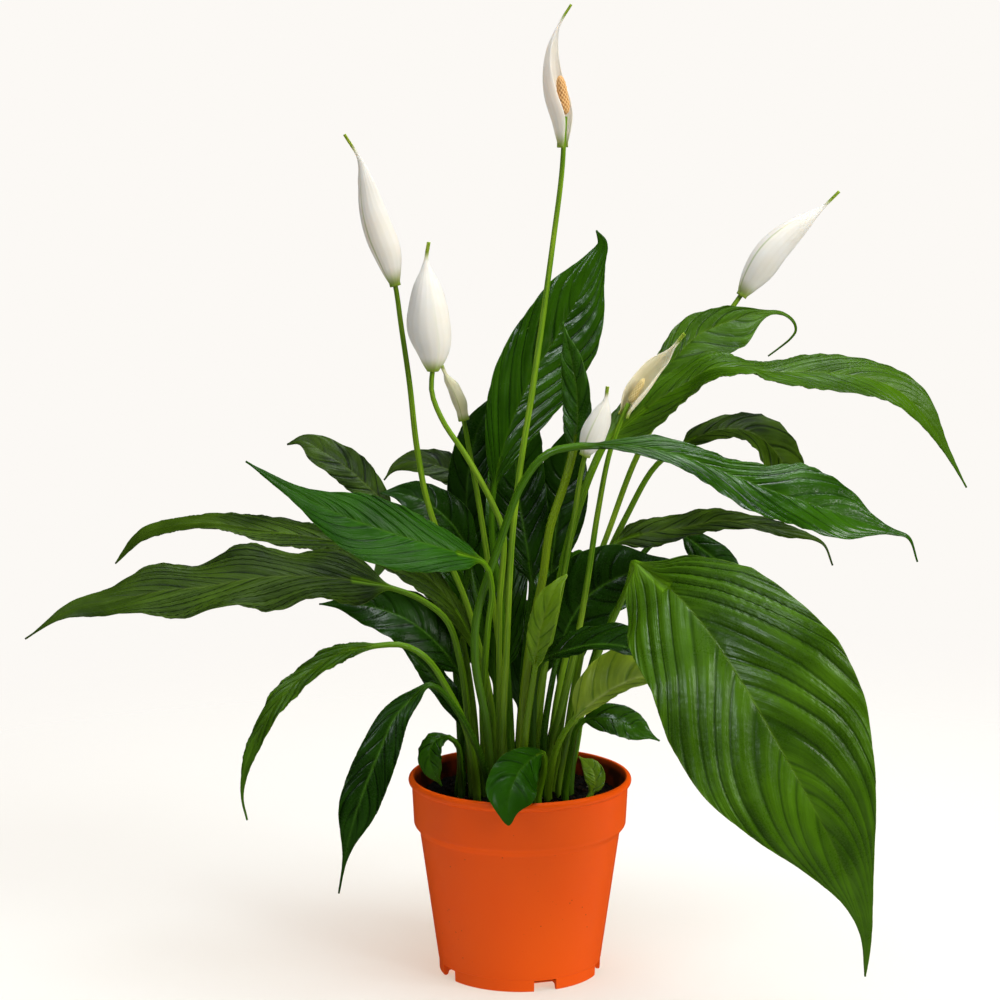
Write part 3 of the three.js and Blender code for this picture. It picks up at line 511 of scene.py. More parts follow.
@dataclass(frozen=True)
class LeafSkin:
    """The finish of a leaf: glossy green with sunken veins that carry painted shade, painted highlights on its
    margins and in part on its midrib, paler below, fading into its petiole.
    """

    name: str
    light: str
    deep: str
    rib: str
    under: str
    stem: str = "6c9c12"
    foot: str = "6c8e22"
    rough: float = 0.3
    gloss: float = 0.45
    ribbed: float = 0.3
    contrast: float = 1.0
    patch_scale: float = 34.0
    crumple_scale: float = 170.0
    grain_scale: float = 900.0

    def material(self) -> bpy.types.Material:
        """Makes the material from the marks "lay" (across, along, vein) and "skin" (apart, stem, upper)."""
        g = Graph(self.name)
        across, along, vein = g.mark("lay")
        apart, stem, upper = g.mark("skin")
        spot = g.spot()
        patch = g.noise(spot, self.patch_scale, 3.0)
        grain = g.noise(spot, self.grain_scale, 2.0)
        run = g.noise(g.plane(across, vein, (1.8, 6.0, 1.0)), 1.0, 3.0)
        band = g.noise(g.plane(across, vein, (1.3, 0.9, 1.0)), 1.0, 2.0)
        groove = 1.0 - ((vein - 0.5).fract() - 0.5).size().eased(0.0, 0.13)
        minor = 1.0 - ((vein * 3.0).fract() - 0.5).size().eased(0.0, 0.3)
        even = 1.0 - along.eased(0.55, 0.88)
        # Tone bands along the lateral veins, darker in their grooves: the groove darkening is painted shade.
        veins = (run - 0.5) * 0.8 + (band - 0.5) * 1.3 - groove * 0.5
        tone = 0.5 + ((patch - 0.5) * 1.6 + veins * even) * self.contrast
        top = g.blend(tone, self.deep, self.light)
        # The paler midrib line: partly the midrib's own colour, partly a painted highlight.
        midrib = NEARLY_E ** (apart * apart * -1.6) * (1.0 - along.eased(0.4, 0.95))
        top = g.blend(midrib * self.ribbed, top, self.rib)
        # A thin lighter band along the upper face's margins: a painted highlight.
        top = g.blend(across.size().eased(0.975, 1.0) * 0.3, top, self.rib)
        # The underside is darker along the vein lines too: painted shade.
        low = g.blend(0.5 + (tone - 0.5) * 0.6 - groove * even * 0.5, self.under, self.light)
        low = g.blend(midrib * 0.9, low, self.rib)
        blade = g.blend(upper, low, top)
        fibres = g.noise(g.plane(across, along, (5.0, 0.6, 1.0)), 3.0, 3.0)
        stalk = g.blend(fibres * 2.8 - 0.85, self.deep, self.stem)
        stalk = g.blend(along.eased(-0.5, -1.8) * 0.45, stalk, self.foot)
        base = g.blend(stem, blade, stalk)
        rough = self.rough + (patch - 0.5) * 0.2 + (1.0 - upper) * 0.16 + (grain - 0.5) * 0.12
        flat = 1.0 - stem
        crumple = g.noise(spot, self.crumple_scale, 2.0)
        lines = (run * 0.3 + minor * 0.05 - groove * 0.2) * even
        height = grain * 0.03 + (lines + crumple * 0.35 + patch * 0.8) * flat
        height = height + fibres * 0.1 * stem
        return g.finish(base, rough, height, Specular_IOR_Level=self.gloss)


class LeafKind(Enum):
    """The kinds of leaf finish on the plant."""

    BRIGHT = LeafSkin("leaf_bright_green", "467004", "264503", "64881a", "55781c", gloss=0.35)
    GREEN = LeafSkin("leaf_green", "336204", "143502", "4c7c14", "44681a", "528410", "56801c", rough=0.22, gloss=0.6)
    SATIN = LeafSkin("leaf_satin_green", "295c02", "103400", "4a7c14", "44681a", rough=0.33, gloss=0.2, contrast=0.9)
    CREASED = LeafSkin("leaf_green_on_lime", "3a6a08", "1a3e03", "5c8418", "44681a", "88a814", "6e9414")
    # Darker petioles, partly their own tone and partly painted shade for the leaves at the back; a stronger midrib
    # line, partly a painted highlight.
    DARK = LeafSkin("leaf_dark_green", "1e4403", "0a2101", "4a7a1c", "2a4a10", "3c680c", "486e1a", rough=0.28,
                    gloss=0.32, ribbed=0.55)
    OLIVE = LeafSkin("leaf_olive_green", "3e5a0c", "142602", "66822c", "465c1c", rough=0.4, gloss=0.22,
                     contrast=1.35)
    LIME = LeafSkin("leaf_lime_green", "74990f", "466b07", "93b038", "86a234", "6e9414")
    PALE = LeafSkin("leaf_pale_green", "a0bc34", "66861c", "b8cc68", "a8c440", ribbed=0.9)


@dataclass(frozen=True)
class StalkSkin:
    """The finish of a bloom's stalk: smooth green with long fibres, paler at its foot."""

    name: str = "stalk_green"
    fresh: str = "3e7008"
    pale: str = "92b424"
    foot: str = "5c841a"

    def material(self) -> bpy.types.Material:
        """Makes the material from the mark "lay" (round, along in centimetres)."""
        g = Graph(self.name)
        around, along, _ = g.mark("lay")
        fibres = g.noise(g.plane(around, along, (14.0, 0.25, 1.0)), 1.0, 3.0)
        patch = g.noise(g.spot(), 30.0, 2.0)
        base = g.blend(fibres * 1.6 - 0.4 + (patch - 0.5), self.fresh, self.pale)
        base = g.blend(1.0 - along.eased(0.5, 10.0), base, self.foot)
        return g.finish(base, 0.34 + patch * 0.15, fibres * 0.12, Specular_IOR_Level=0.25)


@dataclass(frozen=True)
class HoodSkin:
    """The finish of a hood: cream white with faint long veins, its tip and its keel green."""

    name: str
    white: str = "faf5ec"
    shade: str = "f3ead9"
    vein: str = "d8cdb0"
    green: str = "7d9a28"
    dry: str = "c0a070"
    age: float = 0.0
    keel: float = 0.6
    patch_scale: float = 60.0
    spot_scale: float = 140.0
    line_turn: float = 34.0
    subsurface: tuple[float, float] = (0.6, 0.004)
    subsurface_reach: Point = (1.0, 0.8, 0.65)

    def material(self) -> bpy.types.Material:
        """Makes the material from the mark "lay" (across, along, outer)."""
        g = Graph(self.name)
        across, along, outer = g.mark("lay")
        spot = g.spot()
        patch = g.noise(spot, self.patch_scale, 3.0)
        lines = (across * self.line_turn + (patch - 0.5) * 2.0).sine() * 0.5 + 0.5
        base = g.blend(patch * 1.4 - 0.3, self.white, self.shade)
        base = g.blend(lines ** 3.0 * 0.08, base, self.vein)
        keel = NEARLY_E ** (across * across * -900.0) * outer * (1.0 - along.eased(0.3, 0.95))
        base = g.blend(keel * self.keel, base, self.green)
        base = g.blend(along.eased(0.84, 0.93), base, self.green)
        base = g.blend(1.0 - along.eased(0.0, 0.13), base, self.green)
        spots = g.noise(spot, self.spot_scale, 4.0, 0.7).eased(0.62, 0.75)
        base = g.blend(spots * (0.05 + self.age), base, self.dry)
        weight, scale = self.subsurface
        return g.finish(base, 0.5 + (patch - 0.5) * 0.2, lines * 0.05 + patch * 0.1, Subsurface_Weight=weight,
                        Subsurface_Scale=scale, Subsurface_Radius=self.subsurface_reach, Specular_IOR_Level=0.3)


class HoodKind(Enum):
    """The kinds of hood on the plant."""

    FRESH = HoodSkin("hood_cream")
    PLAIN = HoodSkin("hood_plain", keel=0.12)
    WITHERED = HoodSkin("hood_withered", white="e8e2c4", shade="c8c890", age=0.4)
    MOTTLED = HoodSkin("hood_mottled", white="f2ead2", shade="e2d6a4", dry="b8903c", age=0.55)


@dataclass(frozen=True)
class SpikeSkin:
    """The finish of a spike: knobs with darker gaps."""

    name: str
    knob: str
    gap: str
    tip: str

    def material(self) -> bpy.types.Material:
        """Makes the material from the mark "lay" (knob height, along, 0)."""
        g = Graph(self.name)
        knob, along, _ = g.mark("lay")
        grain = g.noise(g.spot(), 700.0, 3.0)
        base = g.blend(knob * 1.2 + (grain - 0.5) * 0.5, self.gap, self.knob)
        base = g.blend(grain * 0.5, base, self.tip)
        return g.finish(base, 0.62, grain * 0.12)


class SpikeKind(Enum):
    """The kinds of spike on the plant."""

    APRICOT = SpikeSkin("spike_apricot", "f2cf94", "a8641e", "dca054")
    PALE = SpikeSkin("spike_pale", "efe2b0", "a8943c", "d8b868")


@dataclass(frozen=True)
class PotPlastic:
    """The finish of the pot: moulded orange plastic with a soft shine, faint scuffs, a little soil and painted shade
    on its inner wall.
    """

    name: str = "pot_orange_plastic"
    orange: str = "ee5203"
    lighter: str = "f05d06"
    scuff: str = "f07a34"
    dirt_and_shade: str = "1c0f07"
    wall_lean: float = 0.14
    wall_face: tuple[float, float] = (0.0421, 0.0428)
    floor_face: tuple[float, float] = (0.007, 0.0085)
    shade_eases_from: tuple[float, float] = (0.103, 0.107)
    band_rise: tuple[float, float] = (0.070, 0.086)

    def material(self) -> bpy.types.Material:
        """Makes the material from the place on the pot."""
        g = Graph(self.name)
        spot = g.spot()
        x, y, z = g.parts(spot)
        cloud = g.noise(spot, 14.0, 3.0)
        grain = g.noise(spot, 1600.0, 2.0)
        base = g.blend(cloud * 1.4 - 0.2, self.orange, self.lighter)
        long_marks = g.noise(g.stretched(spot, (1.0, 1.0, 4.0)), 90.0, 4.0, 0.7).eased(0.64, 0.78)
        band = z.eased(*self.band_rise)
        base = g.blend(long_marks * (0.06 + band * 0.2), base, self.scuff)
        specks = (1.0 - g.cells(spot, 260.0).eased(0.06, 0.12)) * g.noise(spot, 50.0).eased(0.56, 0.66)
        base = g.blend(specks * 0.5, base, self.dirt_and_shade)
        radius = (x * x + y * y) ** 0.5
        # Inside the pot the wall is painted nearly as dark as the soil specks, in patches, easing off towards the
        # lip: painted shade.
        inside = (1.0 - (radius - z * self.wall_lean).eased(*self.wall_face)) * z.eased(*self.floor_face)
        crumbly = 0.8 + 0.2 * g.noise(spot, 120.0, 4.0).eased(0.3, 0.62)
        base = g.blend(inside * crumbly * (1.0 - z.eased(*self.shade_eases_from) * 0.8) * 0.95, base, self.dirt_and_shade)
        rough = 0.4 + (cloud - 0.5) * 0.12 + long_marks * 0.12 + inside * 0.15
        return g.finish(base, rough, grain * 0.02 + cloud * 0.15, Specular_IOR_Level=0.15)


@dataclass(frozen=True)
class PottingMix:
    """The finish of something in the mix, from dark peat to pale perlite."""

    name: str
    dark: str
    light: str
    rough: float = 0.95
    pits: float = 0.4

    def material(self) -> bpy.types.Material:
        """Makes the material from the place in the pot."""
        g = Graph(self.name)
        spot = g.spot()
        cloud = g.noise(spot, 160.0, 5.0, 0.7)
        grain = g.noise(spot, 1400.0, 3.0, 0.7)
        base = g.blend(cloud.eased(0.35, 0.75) * 0.7 + (grain - 0.5) * 0.6, self.dark, self.light)
        return g.finish(base, self.rough, grain * self.pits + cloud * 0.3, Specular_IOR_Level=0.25)


# ---- Pot --------------------------------------------------------------------------------------------------


@dataclass
class NurseryPot:
    """The moulded pot: a rolled lip, a band, a tapering wall and a foot ring with drainage notches."""

    height: float = 107.5
    lip_radius: float = 60.0
    lip_height: float = 4.0
    band_top: float = 58.1
    band_bottom: float = 57.0
    band_bottom_z: float = 81.5
    body_top: float = 53.9
    body_top_z: float = 77.5
    foot_radius: float = 43.5
    foot_line_z: float = 6.7
    foot_step: float = 0.5
    wall: float = 1.3
    foot_wall: float = 3.0
    floor_under: float = 2.5
    floor_top: float = 4.3
    pad_radius: float = 16.0
    notch_width: float = 12.4
    notch_height: float = 6.0
    notch_depth: float = 9.0
    notch_turns: tuple[float, ...] = (18, -61, 76, 128, 180, -128)
    sides: int = 224
    corner: float = 0.9
    sharp_from: float = 38.0

    def body_radius(self, z: float) -> float:
        """The outer radius of the tapering wall at a height."""
        share = (z - self.foot_line_z) / (self.body_top_z - self.foot_line_z)
        foot = self.foot_radius + self.foot_step
        return foot + (self.body_top - foot) * share

    def inner_radius(self, z: float) -> float:
        """The inner radius at a height: the wall's up to the band, then on a line to the lip."""
        low = self.body_top_z + 2.0
        if z < low:
            return self.body_radius(z) - self.wall
        start, end = self.body_radius(low) - self.wall, self.band_top - self.wall + 0.2
        return start + (end - start) * (z - low) / (self.height - low)

    def profile(self) -> Array:
        """The corners of the section, from the middle of the underside round to the middle of the floor."""
        lip = self.height - self.lip_height
        edge = self.foot_radius - self.foot_wall
        r = self.inner_radius
        outside = [(0, 0), (self.pad_radius, 0), (self.pad_radius + 1.5, self.floor_under),
                   (edge, self.floor_under), (edge + 0.8, 0), (self.foot_radius, 0),
                   (self.foot_radius + 0.2, self.foot_line_z),
                   (self.foot_radius + self.foot_step, self.foot_line_z + 0.3), (self.body_top, self.body_top_z),
                   (self.band_bottom, self.band_bottom_z), (self.band_top, lip - 0.6), (self.band_top + 0.6, lip),
                   (self.lip_radius - 0.5, lip + 0.3), (self.lip_radius, lip + 1.6),
                   (self.lip_radius - 0.3, self.height - 0.9), (self.lip_radius - 1.4, self.height)]
        inside = [(r(self.height) + 0.4, self.height), (r(self.height), self.height - 0.6),
                  (r(self.body_top_z + 2), self.body_top_z + 2), (r(self.foot_line_z), self.foot_line_z),
                  (r(self.foot_line_z) - 1.6, self.floor_top), (0, self.floor_top)]
        return np.array(outside + inside, float)

    def rounded(self, corners: Array, steps: int = 4) -> Array:
        """Rounds each corner of the section.

        Each corner is cut back by a share of its shorter side and replaced by the quadratic curve between the
        cuts with the corner as its middle point.

        Args:
            corners: The corners, the first and the last on the axis.
            steps: The number of steps in a rounded corner.

        Returns:
            The finer section.
        """
        before, here, after = corners[:-2], corners[1:-1], corners[2:]
        back = np.minimum(np.linalg.norm(here - before, axis=1), np.linalg.norm(after - here, axis=1)) * 0.45
        cut = np.minimum(back, self.corner)[:, None]
        a = here + unit(before - here) * cut
        b = here + unit(after - here) * cut
        w = np.linspace(0, 1, steps + 1)[None, :, None]
        curve = (1 - w) ** 2 * a[:, None] + 2 * w * (1 - w) * here[:, None] + w**2 * b[:, None]
        return np.vstack([corners[:1], curve.reshape(-1, 2), corners[-1:]])

    def cutters(self) -> Draft:
        """The blocks that cut the drainage notches, one box for each turn about the axis."""
        w, d, h = self.notch_width / 2, self.notch_depth / 2, self.notch_height
        signs = np.array([[x, y, z] for z in (-1, 1) for x, y in ((-1, -1), (1, -1), (1, 1), (-1, 1))], float)
        box = signs * [w, d, h] + [0, -(self.foot_radius - self.notch_depth / 2 + 2), 0]
        sides = np.array([[0, 3, 2, 1], [4, 5, 6, 7], [0, 1, 5, 4], [1, 2, 6, 5], [2, 3, 7, 6], [3, 0, 4, 7]])
        turns = np.radians(self.notch_turns)
        c, s = np.cos(turns)[:, None], np.sin(turns)[:, None]
        x, y = box[:, 0] * c - box[:, 1] * s, box[:, 0] * s + box[:, 1] * c
        points = np.stack([x, y, np.broadcast_to(box[:, 2], x.shape)], -1).reshape(-1, 3)
        faces = (sides[None] + 8 * np.arange(len(turns))[:, None, None]).reshape(-1, 4)
        return Draft(points, [faces])

    def build(self) -> None:
        """Turns the section about the axis, cuts the notches and dresses the pot."""
        section = self.rounded(self.profile())
        middle = section[1:-1]
        rings = turned(middle[:, 0], middle[:, 1], self.sides)
        pot = turned_body(rings, section[0, 1], section[-1, 1]).piece("nursery_pot")
        cutter = self.cutters().piece("notch_blocks", flat=True)
        cut = pot.modifiers.new("notches", "BOOLEAN")
        cut.operation, cut.solver, cut.object = "DIFFERENCE", "EXACT", cutter
        bpy.context.view_layer.update()
        whole = bpy.data.meshes.new_from_object(pot.evaluated_get(bpy.context.evaluated_depsgraph_get()))
        pot.modifiers.clear()
        pot.data = whole
        bpy.data.objects.remove(cutter)
        whole.shade_smooth()
        whole.set_sharp_from_angle(angle=math.radians(self.sharp_from))
        mend(pot, "pot", PotPlastic().material())


# ---- Potting mix ------------------------------------------------------------------------------------------

ICO = (1 + 5**0.5) / 2
LUMP = unit(np.array([[-1, ICO, 0], [1, ICO, 0], [-1, -ICO, 0], [1, -ICO, 0], [0, -1, ICO], [0, 1, ICO],
                      [0, -1, -ICO], [0, 1, -ICO], [ICO, 0, -1], [ICO, 0, 1], [-ICO, 0, -1], [-ICO, 0, 1]]))
LUMP_FACES = np.array([[0, 11, 5], [0, 5, 1], [0, 1, 7], [0, 7, 10], [0, 10, 11], [1, 5, 9], [5, 11, 4],
                       [11, 10, 2], [10, 7, 6], [7, 1, 8], [3, 9, 4], [3, 4, 2], [3, 2, 6], [3, 6, 8], [3, 8, 9],
                       [4, 9, 5], [2, 4, 11], [6, 2, 10], [8, 6, 7], [9, 8, 1]])


@dataclass
class Scatter:
    """Loose bits that lie on the mix, all of one kind."""

    name: str
    finish: PottingMix
    count: int
    small: float
    large: float
    stretch: Point = (1.0, 1.0, 0.8)
    rough: float = 0.22
    sink: float = 0.25
    seed: int = 1


@dataclass
class PottingSoil:
    """The potting mix: a filled body with a crumbly surface and loose bits on it."""

    pot: NurseryPot
    top: float = 95.0
    crown: float = 3.5
    crown_radius: float = 40.0
    crumb: float = 1.1
    gap: float = 0.35
    rings: int = 64
    sides: int = 220
    scatters: tuple[Scatter, ...] = (
        Scatter("soil_crumbs", PottingMix("peat_crumbs", "070403", "28190e"), 900, 0.7, 2.1, seed=3),
        Scatter("soil_clods", PottingMix("peat_clods", "0b0704", "34220f"), 150, 1.8, 3.6, sink=0.1, seed=7),
        Scatter("soil_fibres", PottingMix("bark_fibres", "24150a", "5c4020"), 110, 0.35, 0.6, (9.0, 1.0, 0.8), 0.15,
                0.4, 11),
        Scatter("soil_perlite", PottingMix("perlite_bits", "a99c86", "e9e3d2", 0.85), 46, 0.5, 1.1, seed=19),
    )

    def surface(self, x: Array, y: Array) -> Array:
        """The height of the mix: a low crown under waves of crumbs, from wide ones to fine ones."""
        r = np.hypot(x, y)
        wide = np.sin(0.61 * x + 1.3) * np.cos(0.53 * y + 0.4) + 0.6 * np.sin(1.17 * x - 0.9 * y)
        fine = np.sin(1.9 * x + 2.1 * np.sin(0.7 * y)) * np.cos(2.3 * y - 1.7 * np.sin(0.9 * x))
        finest = np.sin(4.7 * x - 1.3 * y + 2 * np.sin(1.9 * y)) * np.sin(4.1 * y + 1.1 * x)
        crown = self.crown * (1 - smooth(r, 0, self.crown_radius))
        return self.top + crown + self.crumb * 0.6 * wide + 0.45 * fine + 0.25 * finest

    def body(self) -> bpy.types.Object:
        """The filled body: the pot's inner section less a small gap, closed by the crumbly surface.

        Returns:
            The body.
        """
        r, gap = self.pot.inner_radius, self.gap
        foot = self.pot.foot_line_z
        base = self.pot.floor_top + gap
        rim = r(self.top) - gap
        wall = np.array([(r(foot) - 2.2, base), (r(foot) - gap, foot + 0.4),
                         (r(self.pot.body_top_z) - gap, self.pot.body_top_z), (rim, self.top - 1.5)])
        disc = rim * (1 - np.arange(self.rings) / self.rings)
        radii = np.concatenate([wall[:, 0], disc])
        rings = turned(radii, np.concatenate([wall[:, 1], np.zeros(self.rings)]), self.sides)
        top = rings[len(wall):]
        top[..., 2] = self.surface(top[..., 0], top[..., 1])
        middle = float(self.surface(np.zeros(1), np.zeros(1))[0])
        return turned_body(rings, base, middle).piece("potting_mix")

    def scatter(self, kind: Scatter) -> bpy.types.Object:
        """Scatters one kind of bits: each a lump whose points are pushed in or out, stretched and turned.

        Args:
            kind: The kind of bits.

        Returns:
            All of them as one piece.
        """
        rng = np.random.default_rng(kind.seed)
        n = kind.count
        reach = self.pot.inner_radius(self.top) - 3.0 - kind.large * max(kind.stretch[0] * 0.6, 1)
        r, turn = reach * np.sqrt(rng.random(n)), 2 * np.pi * rng.random(n)
        x, y = r * np.cos(turn), r * np.sin(turn)
        size = kind.small + (kind.large - kind.small) * rng.random(n) ** 2
        knocked = LUMP[None] * (1 + kind.rough * rng.standard_normal((n, len(LUMP), 1)))
        knocked = knocked * (np.array(kind.stretch) * (0.75 + 0.5 * rng.random((n, 1, 3)))) * size[:, None, None] / 2
        spin, lean = 2 * np.pi * rng.random(n), 0.5 * rng.standard_normal(n)
        c, s, cl, sl = np.cos(spin), np.sin(spin), np.cos(lean), np.sin(lean)
        nil, one = np.zeros(n), np.ones(n)
        about_z = np.stack([c, -s, nil, s, c, nil, nil, nil, one], -1).reshape(n, 3, 3)
        about_y = np.stack([cl, nil, sl, nil, one, nil, -sl, nil, cl], -1).reshape(n, 3, 3)
        laid = np.einsum("nij,njk,nmk->nmi", about_z, about_y, knocked)
        lift = size * (0.5 - kind.sink) * kind.stretch[2]
        where = np.stack([x, y, self.surface(x, y) + lift], -1)
        points = (laid + where[:, None]).reshape(-1, 3)
        faces = (LUMP_FACES[None] + len(LUMP) * np.arange(n)[:, None, None]).reshape(-1, 3)
        return Draft(points, [faces]).piece(kind.name)

    def build(self) -> None:
        """Builds and dresses the body and its loose bits."""
        mend(self.body(), "soil", PottingMix("peat_mix", "040302", "160e08").material())
        for kind in self.scatters:
            mend(self.scatter(kind), "", kind.finish.material())


# ---- Leaves -----------------------------------------------------------------------------------------------

SOIL_TOP = 95.0
ROOT_DEPTH = 9.0
ROOT_RISE = 6.0


def foot_of(root: tuple[float, float]) -> Array:
    """The straight foot of a stem, from its end in the mix to a little above it."""
    return np.array([[root[0], root[1], SOIL_TOP + rise] for rise in (-ROOT_DEPTH, 0.0, ROOT_RISE)])


@dataclass
class Leaf:
    """A leaf: a petiole that flattens into a thin folded blade with waved margins and puffed lateral veins.

    root, stem and blade give its line, width and halves the blade's width, face its turn about the midrib,
    fold, curl and wave its section, shape and tail its outline, as in the part's source. veins is the number
    of lateral veins, sweep how far one runs forward to the margin, puff the height between two of them. The
    numbers from half_lag on are the same for all leaves: how the veins bend, and where puffs, crimps, the
    midrib's groove and keel, and the petiole's colour start and end.
    """

    name: str
    kind: LeafKind
    root: tuple[float, float]
    stem: Sequence[Point]
    blade: Sequence[Point]
    width: float
    face: Sequence[float]
    wave: tuple[float, float, float]
    fold: float = 12.0
    curl: float = 0.1
    halves: tuple[Any, Any] = (1.0, 1.0)
    shape: tuple[float, float] = (0.8, 1.05)
    tail: tuple[float, float, float] = (0.72, 0.95, 0.5)
    petiole: tuple[float, float] = (2.3, 1.5)
    up: bool = False
    veins: float = 0.0
    sweep: float = 0.2
    puff: float = 0.7
    crimp: float = 0.7
    grid: float = 2.0
    half_columns: int = 14
    thick: tuple[float, float] = (1.0, 0.8)
    rib: float = 1.5
    merge: float = 0.08
    tip_half: float = 0.5
    vein_step: float = 13.0
    channel: float = 0.22
    channel_reach: float = 0.3
    crowd: float = 0.05
    step: float = 5.0
    half_lag: float = 1.9
    stagger: float = 0.37
    bend: float = 0.45
    uneven: float = 0.16
    puff_power: float = 0.8
    puff_rise: tuple[float, float] = (0.02, 0.3)
    puff_fall: tuple[float, float] = (0.7, 1.0)
    puff_loss: float = 0.75
    crimp_rate: float = 1.3
    groove_depth: float = 0.4
    groove_reach: float = 1.3
    keel_reach: float = 1.9
    margin_thins: float = 0.6
    last_column: float = 0.992
    stem_fade: tuple[float, float] = (0.07, 0.25)

    def line(self) -> tuple[Line, float]:
        """The middle line, and the distance along it at which the blade starts."""
        foot = foot_of(self.root)
        stem = place(self.stem) if len(self.stem) else np.zeros((0, 3))
        line = Line(np.vstack([foot, stem, place(self.blade)]))
        return line, line.distance_of(len(foot) + len(stem))

    def half_width(self, t: Array, s: Array) -> Array:
        """Half the blade's width at t on the side of s, never under a least one."""
        share = outline(t, self.shape, self.tail)
        side = np.where(s > 0, run_through(self.halves[1], t), run_through(self.halves[0], t))
        least = np.where(t < 0.5, self.petiole[1] * (1 - t), self.tip_half)
        return np.maximum(self.width / 2 * share * side, least)

    def vein_phase(self, t: Array, s: Array, length: float) -> Array:
        """A number that goes up by one from each lateral vein to the next.

        A vein leaves the midrib at t and runs forward by sweep times a mix of |s| and its square, so that it
        bends towards the tip. A slow sine of the number itself makes the veins' spacing uneven.
        """
        count = self.veins or max(length / self.vein_step, 5.0)
        a = np.abs(s)
        forward = self.sweep * ((1 - self.bend) * a + self.bend * a * a)
        even = count * (t - forward) + np.where(s > 0, self.stagger, 0.0)
        return even + self.uneven * np.sin(2.1 * even + 2.0 * a + self.width)

    def section(self, t: Array, s: Array, length: float) -> tuple[Array, Array]:
        """The blade's section as places across and above the midrib.

        Each half is lifted by the fold, drops with the square of its distance by the curl, and waves with
        the square of s; between two lateral veins it puffs up as the sine of the vein phase, its margins are
        crimped by a sine of that phase, and the midrib lies in a fine groove.

        Args:
            t: Places along the blade.
            s: Places across it, -1 at the left margin and 1 at the right one.
            length: The blade's length.

        Returns:
            The offsets along the side and along the normal.
        """
        share = outline(t, self.shape, self.tail)
        half = self.half_width(t, s)
        a = np.abs(s) * half
        fold = math.radians(self.fold)
        height, waves, phase = self.wave
        turn = 2 * np.pi * waves * t + phase + np.where(s > 0, self.half_lag, 0.0)
        wave = height * share * s * s * np.sin(turn)
        lateral = np.abs(np.sin(np.pi * self.vein_phase(t, s, length))) ** self.puff_power
        reach = smooth(np.abs(s), *self.puff_rise) * (1 - self.puff_loss * smooth(np.abs(s), *self.puff_fall))
        puffed = self.puff * (lateral - 0.5) * reach * share * smooth(t, 0.02, 0.12) * (1 - smooth(t, 0.85, 1.0))
        crimp = self.crimp * share * smooth(np.abs(s), 0.55, 1.0) * np.sin(
            2 * np.pi * self.vein_phase(t, s, length) * self.crimp_rate + 2.2 * np.sin(9.0 * t + self.width))
        groove = -self.groove_depth * (1 - t) * np.exp(-((a / self.groove_reach) ** 2))
        y = a * math.sin(fold) - self.curl * a * np.abs(s) + wave + puffed + crimp + groove
        return np.sign(s) * a * math.cos(fold), y

    def columns(self) -> Array:
        """The places across the blade, closer at the midrib and at the margins."""
        half = np.sort(np.append(eased_steps(self.half_columns, 0.6), self.last_column))
        return np.concatenate([-half[:0:-1], half])

    def petiole_rings(self, line: Line, base_at: float, side: Array, columns: Array) -> tuple[Array, Array]:
        """The rings of the petiole.

        Each is a circle in the plane of a side near the blade's and its normal, with a channel on top that
        deepens towards the blade.

        Args:
            line: The leaf's line.
            base_at: Where the blade starts.
            side: The blade's side vector at its base.
            columns: The places across the blade.

        Returns:
            The rings' points and their distances along the line.
        """
        foot_end = line.distance_of(2)
        count = max(8, round((base_at - foot_end) / self.step))
        stops = np.concatenate([[0.0], foot_end + (base_at - foot_end) * np.arange(count) / count])
        points, tangents = line.at(stops)
        across, normal = square_to(side, tangents)
        share = stops / base_at
        radius = (self.petiole[0] + (self.petiole[1] - self.petiole[0]) * share)[:, None]
        depth = smooth(share, 0.35, 1.0)[:, None]
        return self.rings_of(points, across, normal, *self.circles(radius, depth, columns)), stops

    def circles(self, radius: Array, depth: Array | float, columns: Array) -> tuple[Offsets, Offsets]:
        """Circles cut in the plane of the columns.

        Args:
            radius: The radius of each, as a column.
            depth: The share of the full channel on top.
            columns: The places across the blade.

        Returns:
            The offsets of the upper and of the lower half.
        """
        angle = np.radians(90 - columns * (90 - 90 / len(columns)))
        channel = 1 - self.channel * depth * np.exp(-((columns / self.channel_reach) ** 2))
        x, y = radius * np.cos(angle), radius * np.sin(angle)
        return (x, y * channel), (x, -y)

    @staticmethod
    def rings_of(points: Array, side: Array, normal: Array, top: Offsets, low: Offsets) -> Array:
        """Rings over the top from left to right and back underneath, from offsets in each ring's plane."""
        halves = [points[:, None] + side[:, None] * x[..., None] + normal[:, None] * y[..., None]
                  for x, y in (top, low)]
        return np.concatenate([halves[0], halves[1][:, ::-1]], axis=1)

